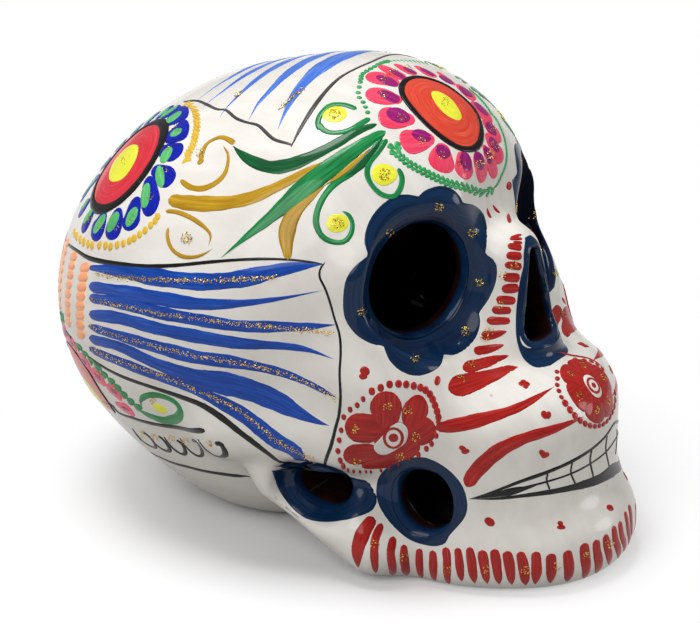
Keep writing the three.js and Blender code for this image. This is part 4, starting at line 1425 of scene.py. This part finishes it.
HOOK_DABS = ((1035, 310), (720, 270), (540, 240), (330, 220), (160, 180))
CURL_DAB = (572, 862)
LOW_BACK = ((-25, 72, 31), (0, 78, 32))
drawn("low_curl", TEMPLE, LOW_CURL, 46, CURL_PRESS)
drawn("low_dot", TEMPLE, LOW_DOT, 56, OVAL)
drawn("low_lines", TEMPLE, LOW_LINE, 26, ((0, 0.8), (0.5, 1), (0.97, 1), (1, 0.5)))
drawn("low_lines", HOOK_VIEW, HEM_LINE, 58, ((0, 0.5), (0.3, 0.9), (0.9, 1), (1, 0.3)))
for width, hook in HOOKS:
    drawn("low_lines", HOOK_VIEW, hook, HOOK_SWELL * width, HOOK_PRESS)
dab_all(HOOK_VIEW, HOOK_DABS, radius=3.6, count=26)
start = struck(seen(TEMPLE, LOW_LINE[0]))
side = np.vstack([start, LOW_BACK])
brush("low_lines", mirrored_on(side), 1.0, EVEN)
dab_all(TEMPLE, (CURL_DAB,), radius=3.5, count=30)
lay("low_curl", leaf_green)
lay("low_dot", yellow)
lay("low_lines", black)

# %% Peach dashes, stacked in columns round the back
BEAD_COLUMNS = ((-53.0, 51.2), (-47.6, 59.3), (-40.0, 68.4), (-31.5, 75), (-22.5, 80.5), (-12.2, 84.3),
                (0, 86))
DASH_HALF, DASH_WIDE, DASH_PITCH, SIDE_LEAN = 2.9, 3.2, 2.7, 0.4
SIDE_COLUMNS, SIDE_SPAN, BACK_SPAN = 3, (56.6, 76.6), (55.2, 72.8)
for column, (x, y) in enumerate(BEAD_COLUMNS):
    span, lean = (SIDE_SPAN, SIDE_LEAN) if column < SIDE_COLUMNS else (BACK_SPAN, 0)
    for height in np.arange(*span, DASH_PITCH):
        spot, level, rising = bloom((x, y, height))
        half = (level + lean * rising) * DASH_HALF
        brush("peach_dashes", np.array([spot - half, spot + half]), DASH_WIDE, OVAL, rise=0.3, both=x < 0)
lay("peach_dashes", peach)

# %% [markdown]
# ## The crown
# Pale blue feathers cross the top of the head from side to side, inside a wavy grey line at the back and a
# straight one at the front. They are thin and dry, so the white shows through the hairs.

# %% Lines that bound the crown
WAVE = ((150, 78), (240, 70), (300, 92), (370, 125), (430, 130), (490, 180), (560, 210), (640, 230),
        (700, 285), (750, 325), (857, 356))
WAVE_END, BAND_TOP = (-36.8, -6.2, 115.4), (0, -6.5, 128.6)
BAND = ((291, 147), (306, 119), (326, 91), (340, 77.5), (354, 69.5))
BAND_PRESS = ((0, 0.2), (0.06, 0.9), (0.2, 1.2), (0.35, 0.8), (0.5, 0.7), (0.65, 0.8), (0.8, 1.2),
              (0.94, 0.9), (1, 0.2))
brush("crown_lines", np.vstack([struck(seen(SPRIG, *WAVE)), WAVE_END]), 1.0, LINE, both=True)
brush("crown_lines", mirrored_on(np.vstack([struck(BAND), BAND_TOP])), 1.25, BAND_PRESS)
lay("crown_lines", grey)

# %% Feathers over the crown
CROWN_TIPS = (
    (2.6, ((238, 72), (330, 2))), (3.4, ((268, 127), (340, 60), (420, 2))),
    (4.2, ((388, 182), (440, 110), (540, 10))), (5.2, ((578, 202), (640, 90), (720, 2))),
    (7.0, ((768, 264), (820, 140), (900, 2))))
CROWN_PRESS = ((0, 0), (0.08, 0.15), (0.25, 0.55), (0.38, 0.85), (0.5, 1), (0.62, 0.85), (0.75, 0.55),
               (0.92, 0.15), (1, 0))
CROWN_RIDGE, CROWN_BACK = ((-9, 127), (0, 128)), 0.5
CROWN_GOLD = ((120, 1.2, ((780, 130), (830, 80), (900, 20), (935, -10))), (44, 0.8, ((490, 48), (540, 10))))
for width, tip in CROWN_TIPS:
    side = struck(seen(SPRIG, *tip))
    side = np.vstack([side, [(x, side[-1, 1] + CROWN_BACK, z) for x, z in CROWN_RIDGE]])
    brush("crown_feathers", mirrored_on(side), width, CROWN_PRESS)
for count, stray, path in CROWN_GOLD:
    trail(seen(SPRIG, *path), count, stray)
lay("crown_feathers", crown_blue)

# %% [markdown]
# ## Red strokes on the face
# Short strokes climb both sides of the nose, long ones sweep across the cheeks, and a row stands along the
# jaw. Each is one press of a round brush, so it is widest where the brush came down.

# %% Beside the nose and over the cheek
FACE_VIEW = (330, 170, 5.807)
MOUTH_VIEW = (330, 370, 5.058)
PRESSED = ((0, 0), (0.04, 0.5), (0.15, 0.86), (0.4, 1), (0.8, 0.95), (0.95, 0.7), (1, 0))
FULL_DROP = ((0, 0), (0.02, 0.42), (0.06, 0.7), (0.13, 0.92), (0.24, 1), (0.5, 0.92), (0.75, 0.65),
             (0.93, 0.3), (1, 0))
SWEPT = ((0, 0), (0.012, 0.4), (0.04, 0.75), (0.1, 0.95), (0.2, 1), (0.4, 0.85), (0.65, 0.6), (0.85, 0.35),
         (1, 0))
NOSE_STROKES = (
    (20, (1046, 396), (1113, 374)), (22, (1041, 401), (1117, 399)), (20, (1063, 418), (1117, 423)),
    (46, (1030, 440), (1115, 452)), (50, (1022, 495), (1116, 502)), (50, (1013, 548), (1115, 563)),
    (56, (1002, 620), (1104, 628)), (56, (995, 690), (1098, 685)), (52, (963, 750), (1080, 760)),
    (52, (938, 812), (1054, 816)), (50, (908, 874), (1048, 876)))
NOSE_DROPS = (
    (58, (877, 962), (945, 958), (1027, 937)), (60, (834, 1052), (910, 1042), (1012, 1015)),
    (80, (772, 1160), (860, 1130), (960, 1100), (1040, 1077)),
    (122, (686, 1274), (796, 1240), (907, 1203), (1018, 1162), (1094, 1143)))
SWEEPS = ((76, (530, 290), (600, 285), (720, 262), (900, 210), (1010, 160), (1135, 85)),
          (86, (690, 592), (740, 512), (850, 412), (980, 348), (1130, 300), (1285, 235)))
STROKE_DABS = ((1085, 655), (1062, 850), (1000, 1010), (968, 1050), (880, 1215), (822, 1310), (1150, 600))
FAR_SHIFT = np.array([4.5, 0, 0])
for strokes, press_line in ((NOSE_STROKES, PRESSED), (NOSE_DROPS, FULL_DROP)):
    for width, *path in strokes:
        drawn("face_strokes", FACE_VIEW, path, width, press_line, both=False)
        far_path = struck(seen(FACE_VIEW, *path)) * NEAR + FAR_SHIFT
        brush("face_strokes", far_path, width / FACE_VIEW[2] / PIXELS_PER_MM, press_line)
drawn_all("face_strokes", MOUTH_VIEW, SWEEPS, SWEPT)
dab_all(EYE_VIEW, STROKE_DABS, radius=4.5, count=20)
print("strokes by the nose", len(NOSE_STROKES) + len(NOSE_DROPS), "and over the cheek", len(SWEEPS))

# %% Along the jaw
JAW_PRESS = ((0, 0), (0.02, 0.5), (0.06, 0.8), (0.15, 0.95), (0.35, 1), (0.6, 0.95), (0.78, 0.75),
             (0.9, 0.42), (1, 0))
JAW_STROKES = (
    (72, (220, 743), (165, 830), (138, 915), (143, 1000)), (46, (262, 775), (225, 880), (232, 1028)),
    (47, (320, 840), (308, 940), (318, 1047)), (48, (372, 882), (376, 960), (387, 1064)),
    (43, (452, 902), (452, 980), (463, 1068)), (44, (520, 912), (522, 990), (530, 1077)),
    (45, (585, 895), (592, 980), (602, 1082)), (46, (645, 898), (655, 980), (667, 1070)),
    (50, (705, 895), (717, 980), (733, 1080)), (52, (768, 910), (780, 990), (797, 1082)),
    (54, (830, 905), (843, 990), (857, 1085)), (56, (893, 915), (908, 990), (920, 1086)),
    (58, (960, 918), (978, 990), (990, 1090)), (55, (1040, 918), (1045, 1000), (1037, 1085)),
    (56, (1117, 928), (1120, 1000), (1113, 1080)), (60, (1198, 912), (1208, 980), (1200, 1072)),
    (58, (1283, 875), (1293, 960), (1283, 1056)), (54, (1343, 858), (1355, 940), (1347, 1030)),
    (46, (1390, 832), (1405, 905), (1410, 985)), (42, (1432, 787), (1447, 870), (1455, 955)),
    (38, (1463, 765), (1478, 840), (1485, 920)), (34, (1490, 715), (1508, 800), (1508, 885)),
    (26, (1512, 680), (1525, 760), (1525, 840)))
JAW_DABS = ((375, 950), (226, 880), (795, 1010), (990, 1010), (1300, 940), (1150, 990), (590, 1010),
            (1412, 880))
NEAR_STROKES = 17
for k, (width, *path) in enumerate(JAW_STROKES):
    drawn("face_strokes", MOUTH_VIEW, path, width, JAW_PRESS, both=k < NEAR_STROKES)
dab_all(MOUTH_VIEW, JAW_DABS, radius=4.5, count=20, both=False)
print("jaw strokes", len(JAW_STROKES))

# %% Small marks between the strokes, each of one or two dabs
CHEEK_MARKS = (
    (26, (146, 34), (190, 30)), (40, (158, 22), (194, -10)), (24, (550, 30), (536, 78)),
    (24, (952, 70), (1012, 70)), (30, (975, 48), (992, 96)), (26, (1073, 207), (1096, 246)),
    (24, (1112, 210), (1096, 246)),
    (22, (655, 384), (688, 412)), (22, (664, 416), (706, 407)), (24, (1060, 406), (1094, 440)),
    (24, (1068, 438), (1110, 424)), (32, (784, 750), (831, 786)), (20, (1150, 772), (1180, 778)),
    (20, (1147, 796), (1192, 795)))
CHIN_MARK = ((28, (1412, 680), (1422, 714)),)
BROW_MARKS = ((28, (1046, 68), (1034, 116)), (24, (1038, 254), (1042, 308)))
MARK_SWELL = 1.3
LID_MARK, LID_WIDE, LID_SLANT = (922, 256), 1.3, np.array([0.5, 0, 1.9])
for view, marks, both in ((MOUTH_VIEW, CHEEK_MARKS, True), (MOUTH_VIEW, CHIN_MARK, False),
                          (FACE_VIEW, BROW_MARKS, False)):
    drawn_all("face_strokes", view, marks, OVAL, swell=MARK_SWELL, rise=0.2, both=both)
lid = struck(seen(FACE_VIEW, LID_MARK))
brush("face_strokes", np.vstack([lid + LID_SLANT, lid - LID_SLANT]), LID_WIDE, OVAL, rise=0.2, both=True)
lay("face_strokes", red)

# %% [markdown]
# ## Red flowers on the cheeks and the lip
# Six fat petals round a white heart with a red ring, inside a circle of beads.

# %% Cheek flower
CHEEK_PETALS = ((172, (283, 294), (283, 106)), (128, (405, 292), (450, 124)), (150, (385, 352), (522, 262)),
                (104, (160, 492), (320, 442), (450, 370)), (120, (252, 424), (66, 432)),
                (162, (260, 302), (74, 284)), (180, (236, 388), (404, 294)))
LARGE_BEADS = ((210, 108), (255, 90), (300, 73), (345, 70), (384, 73), (422, 80), (456, 89), (482, 102),
               (504, 123), (518, 149), (530, 179), (540, 209), (547, 239))
MEDIUM_BEADS = ((546, 262), (535, 332), (512, 373), (486, 398), (445, 428), (398, 442), (66, 485), (50, 457),
                (38, 410), (45, 355), (55, 305), (68, 238), (100, 200), (136, 178), (166, 147))
SMALL_BEADS = ((345, 478), (300, 497), (256, 508), (205, 515), (180, 514), (150, 514), (118, 512), (90, 505))
CHEEK_HEART = ((222, 385), (258, 340), (300, 292), (352, 264), (392, 300), (384, 362), (336, 400), (284, 427),
               (240, 420))
CHEEK_RING, CHEEK_PUPIL = (320, 341), ((296, 341), (346, 338))
CHEEK_DABS = ((292, 182), (395, 205), (430, 335), (355, 435), (135, 462), (125, 295), (316, 345))
drawn_all("red_flowers", MOUTH_VIEW, CHEEK_PETALS, OVAL)
for size, beads in ((21, LARGE_BEADS), (16, MEDIUM_BEADS), (9, SMALL_BEADS)):
    for x, y in beads:
        drawn("red_beads", MOUTH_VIEW, ((x, y - size), (x + 3, y + size)), 1.65 * size, OVAL, rise=0.3)
fill("cheek_hearts", looped(MOUTH_VIEW, CHEEK_HEART, 64), layer=2, rise=0.14)
lay_filled("cheek_hearts", chalk)
turns = np.radians(np.linspace(0, 380, 40))
heart = np.array(CHEEK_RING) + np.stack([46 * np.cos(turns), 49 * np.sin(turns)], -1)
drawn("red_hearts", MOUTH_VIEW, heart, 16, EVEN, layer=4)
drawn("red_hearts", MOUTH_VIEW, CHEEK_PUPIL, 46, OVAL, layer=4)
dab_all(MOUTH_VIEW, CHEEK_DABS, radius=4.6, count=24)
print("cheek beads", len(LARGE_BEADS + MEDIUM_BEADS + SMALL_BEADS))

# %% Lip flower, near the middle line
LIP_MIDDLE, LIP_FLAKES = (1.0, -76, 51.6), 22
UPPER_PETAL, LOWER_PETAL, LOWER_TURNS = 10.4, 11.8, (240, 300)
LIP_BEADS = ((1148, 8), (1150, 42), (1149, 74), (1157, 104), (1170, 136))
lip_flower = bloom(LIP_MIDDLE)
for degrees in np.arange(0, 360, 60):
    length = LOWER_PETAL if degrees in LOWER_TURNS else UPPER_PETAL
    brush("red_flowers", spoke(lip_flower, 1.6, length, degrees), 9.2, PETAL)
    reach = rng.uniform(6.0, 8.4, (LIP_FLAKES, 1))
    sparkle(on_bloom(lip_flower, reach, degrees + rng.uniform(-9, 9, LIP_FLAKES)), both=False)
for x, y in LIP_BEADS:
    drawn("red_beads", MOUTH_VIEW, ((x - 12, y - 4), (x + 12, y + 6)), 24, OVAL, rise=0.3)
for degrees in np.arange(177, 338, 11):
    brush("red_beads", spoke(lip_flower, 12.0, 14.2, degrees), 2.1, OVAL, rise=0.3)
brush("red_beads", on_bloom(lip_flower, np.full((12, 1), 11.9), np.linspace(92, 8, 12)), 1.0, TAIL)
brush("white_hearts", spoke(lip_flower, 3.6, 3.6, 90, swing=180), 5.4, OVAL, layer=2)
turns = np.linspace(0, 380, 40)
brush("red_hearts", on_bloom(lip_flower, np.full((40, 1), 2.1), turns), 0.8, EVEN, layer=4)
brush("red_hearts", spoke(lip_flower, 0.9, 0.9, 0, swing=180), 1.8, OVAL, layer=4)
lay("red_flowers", red)
lay("red_beads", red)
lay("white_hearts", chalk)
lay("red_hearts", red)

# %% [markdown]
# ## The mouth
# Black lines drawn with a fine brush: a grin that starts at a point, a thick lower edge, and a grid of teeth.
# The far corner is the near one's mirror image, joined on where the picture stops.

# %% Lips and teeth
LIP_UPPER = ((703, 652), (830, 615), (960, 565), (1090, 520), (1220, 464), (1320, 403), (1400, 328),
             (1440, 268))
LIP_LOWER = ((703, 653), (850, 650), (960, 638), (1080, 622), (1250, 588), (1350, 556), (1430, 505),
             (1466, 460))
LIP_INNER = ((955, 598), (1100, 564), (1225, 522), (1320, 472), (1400, 410), (1445, 345))
LIP_CORNER = ((703, 652), (800, 638), (880, 623), (960, 605), (1040, 584))
CORNER_PRESS = ((0, 0), (0.35, 0.55), (0.6, 0.95), (0.75, 0.7), (1, 0.15))
TEETH = (((1102, 520), (1096, 560), (1112, 605)), ((1226, 463), (1219, 520), (1242, 578)),
         ((1324, 402), (1316, 460), (1332, 540)), ((1402, 328), (1395, 400), (1412, 490)))
UPPER_PRESS = ((0, 0), (0.1, 0.9), (0.25, 1.1), (0.5, 0.9), (0.75, 1.1), (0.9, 0.9), (1, 0))
LOWER_PRESS = ((0, 0), (0.1, 0.25), (0.25, 0.42), (0.4, 0.7), (0.55, 1.05), (0.7, 0.8), (0.85, 0.4), (1, 0))


def carried_over(line):
    """A line on the near side, carried on to the far side by its own mirror image."""
    twin = (line * NEAR)[::-1]
    return np.vstack([line, twin[twin[:, 0] > line[:, 0].max() + 5]])


for places, width, press_line in ((LIP_UPPER, 1.1, UPPER_PRESS), (LIP_LOWER, 3.6, LOWER_PRESS),
                                  (LIP_INNER, 0.66, LINE)):
    brush("mouth_lines", carried_over(struck(seen(MOUTH_VIEW, *places))), width, press_line)
drawn("mouth_lines", MOUTH_VIEW, LIP_CORNER, 42, CORNER_PRESS)
for k, tooth in enumerate(TEETH):
    drawn("mouth_lines", MOUTH_VIEW, tooth, 11, LINE, both=k < 2)
lay("mouth_lines", black)

# %% [markdown]
# ## Glitter
# Gold film, cut into squares of about a fifth of a millimetre, was pressed into the wet paint. A noise in the
# paint would lie flat, but real flakes tip and flash one by one, so each is a tiny slab of its own.

# %% Glitter flakes
SQUARE = np.arange(4) * math.pi / 2
FLAKE_TIP, FLAKE_LIFT, FLAKE_THICK = 0.25, 0.3, 0.1
FLAKE_LEAST, FLAKE_MOST = 0.1, 0.19


def lay_glitter(name, finish):
    """Square flakes, each tipped a little, lying on the paint."""
    near = np.concatenate([spots for spots, both in FLAKES])
    far = np.concatenate([spots for spots, both in FLAKES if both]) * NEAR
    centre = settle(np.concatenate([near, far]), rounds=2)
    normal = steepest(surface, centre)
    count = len(centre)
    normal = normal / np.linalg.norm(normal, axis=1, keepdims=True) + rng.normal(0, FLAKE_TIP, (count, 3))
    normal /= np.linalg.norm(normal, axis=1, keepdims=True)
    first = np.cross(normal, rng.normal(size=(count, 3)))
    first /= np.linalg.norm(first, axis=1, keepdims=True)
    second = np.cross(normal, first)
    size = rng.uniform(FLAKE_LEAST, FLAKE_MOST, count)[:, None, None]
    ring = np.cos(SQUARE)[None, :, None] * first[:, None] + np.sin(SQUARE)[None, :, None] * second[:, None]
    middle = centre[:, None] + normal[:, None] * FLAKE_LIFT
    top = middle + size * ring
    points = np.concatenate([top, top - normal[:, None] * FLAKE_THICK], 1)
    sides = [(3, 2, 1, 0), (4, 5, 6, 7)] + [(k, (k + 1) % 4, (k + 1) % 4 + 4, k + 4) for k in range(4)]
    faces = (np.arange(count)[:, None, None] * 8 + np.array(sides)[None]).reshape(-1, 4).tolist()
    notes = np.repeat(rng.random((count, 1)), 8, 0).repeat(3, 1)
    obj = paint_piece(name, points.reshape(-1, 3), faces, notes, finish)
    obj.data.shade_flat()


lay_glitter("gold_flakes", gold)
print("flakes", BODY_PAINT["gold_flakes"] // 6)

# %% [markdown]
# ## Light and floor
# The picture was taken under broad soft lamps on a white sweep. Large area lamps give the long soft glints on
# the varnish, and a pale floor keeps the shadow. The light that the floor throws back up is dimmed, because
# the chin and the jaw are the darkest parts of the picture.

# %% Floor
deselect()
bpy.ops.mesh.primitive_plane_add(size=6, location=(0, 0, 0))
floor = bpy.context.object
floor.name = "floor"
SHADOW_NEAR, SHADOW_FAR = 0.045, 0.12
sweep = bpy.data.materials.new("white_sweep")
sweep.use_nodes = True
tree = sweep.node_tree
shader = tree.nodes["Principled BSDF"]
shader.inputs["Roughness"].default_value = 0.9
where = add(tree, "ShaderNodeTexCoord").outputs["Object"]
mottle = noise(tree, where, 3, 2)
path = add(tree, "ShaderNodeLightPath").outputs
pale = blended(tree, mottle, linear((240, 240, 240)), linear((247, 247, 247)))
bounced = blended(tree, path["Is Diffuse Ray"], pale, linear((150, 148, 145)))
tie(tree, bounced, shader.inputs["Base Color"])
away = add(tree, "ShaderNodeVectorMath", operation="LENGTH")
tie(tree, where, away.inputs[0])
looked_at = sums(tree, "ADD", path["Is Camera Ray"], path["Is Glossy Ray"])
looked_at = sums(tree, "ADD", looked_at, path["Is Transmission Ray"], clamp=True)
paper = add(tree, "ShaderNodeEmission")
mix = add(tree, "ShaderNodeMixShader")
far_off = spread(tree, away.outputs["Value"], SHADOW_NEAR, SHADOW_FAR)
tie(tree, sums(tree, "MULTIPLY", looked_at, far_off), mix.inputs[0])
tie(tree, shader.outputs[0], mix.inputs[1])
tie(tree, paper.outputs[0], mix.inputs[2])
tie(tree, mix.outputs[0], tree.nodes["Material Output"].inputs["Surface"])
floor.data.materials.append(sweep)
print("floor stands at", floor.location[2])


# %% Lamps
def lamp(name, place, aim, size, watts):
    data = bpy.data.lights.new(name, "AREA")
    data.shape = "DISK"
    data.size = size
    data.energy = watts
    obj = bpy.data.objects.new(name, data)
    obj.location = place
    away = Vector(place) - Vector(aim)
    obj.rotation_euler = away.to_track_quat("Z", "Y").to_euler()
    bpy.context.scene.collection.objects.link(obj)


LAMP_AIM, WORLD_LIGHT = (0, 0, 0.06), 0.27
lamp("overhead", (-0.1, 0.2, 1.2), LAMP_AIM, size=0.55, watts=9.4)
lamp("front", (0.6, -1.05, 0.3), LAMP_AIM, size=0.45, watts=3.2)
lamp("left_fill", (-1.05, -0.05, 0.8), LAMP_AIM, size=0.9, watts=8.3)
world = bpy.data.worlds.new("studio")
bpy.context.scene.world = world
world.use_nodes = True
world.node_tree.nodes["Background"].inputs["Color"].default_value = (1, 1, 1, 1)
world.node_tree.nodes["Background"].inputs["Strength"].default_value = WORLD_LIGHT
bpy.context.scene.view_settings.view_transform = "Standard"
print("lamps", len(bpy.data.lights))
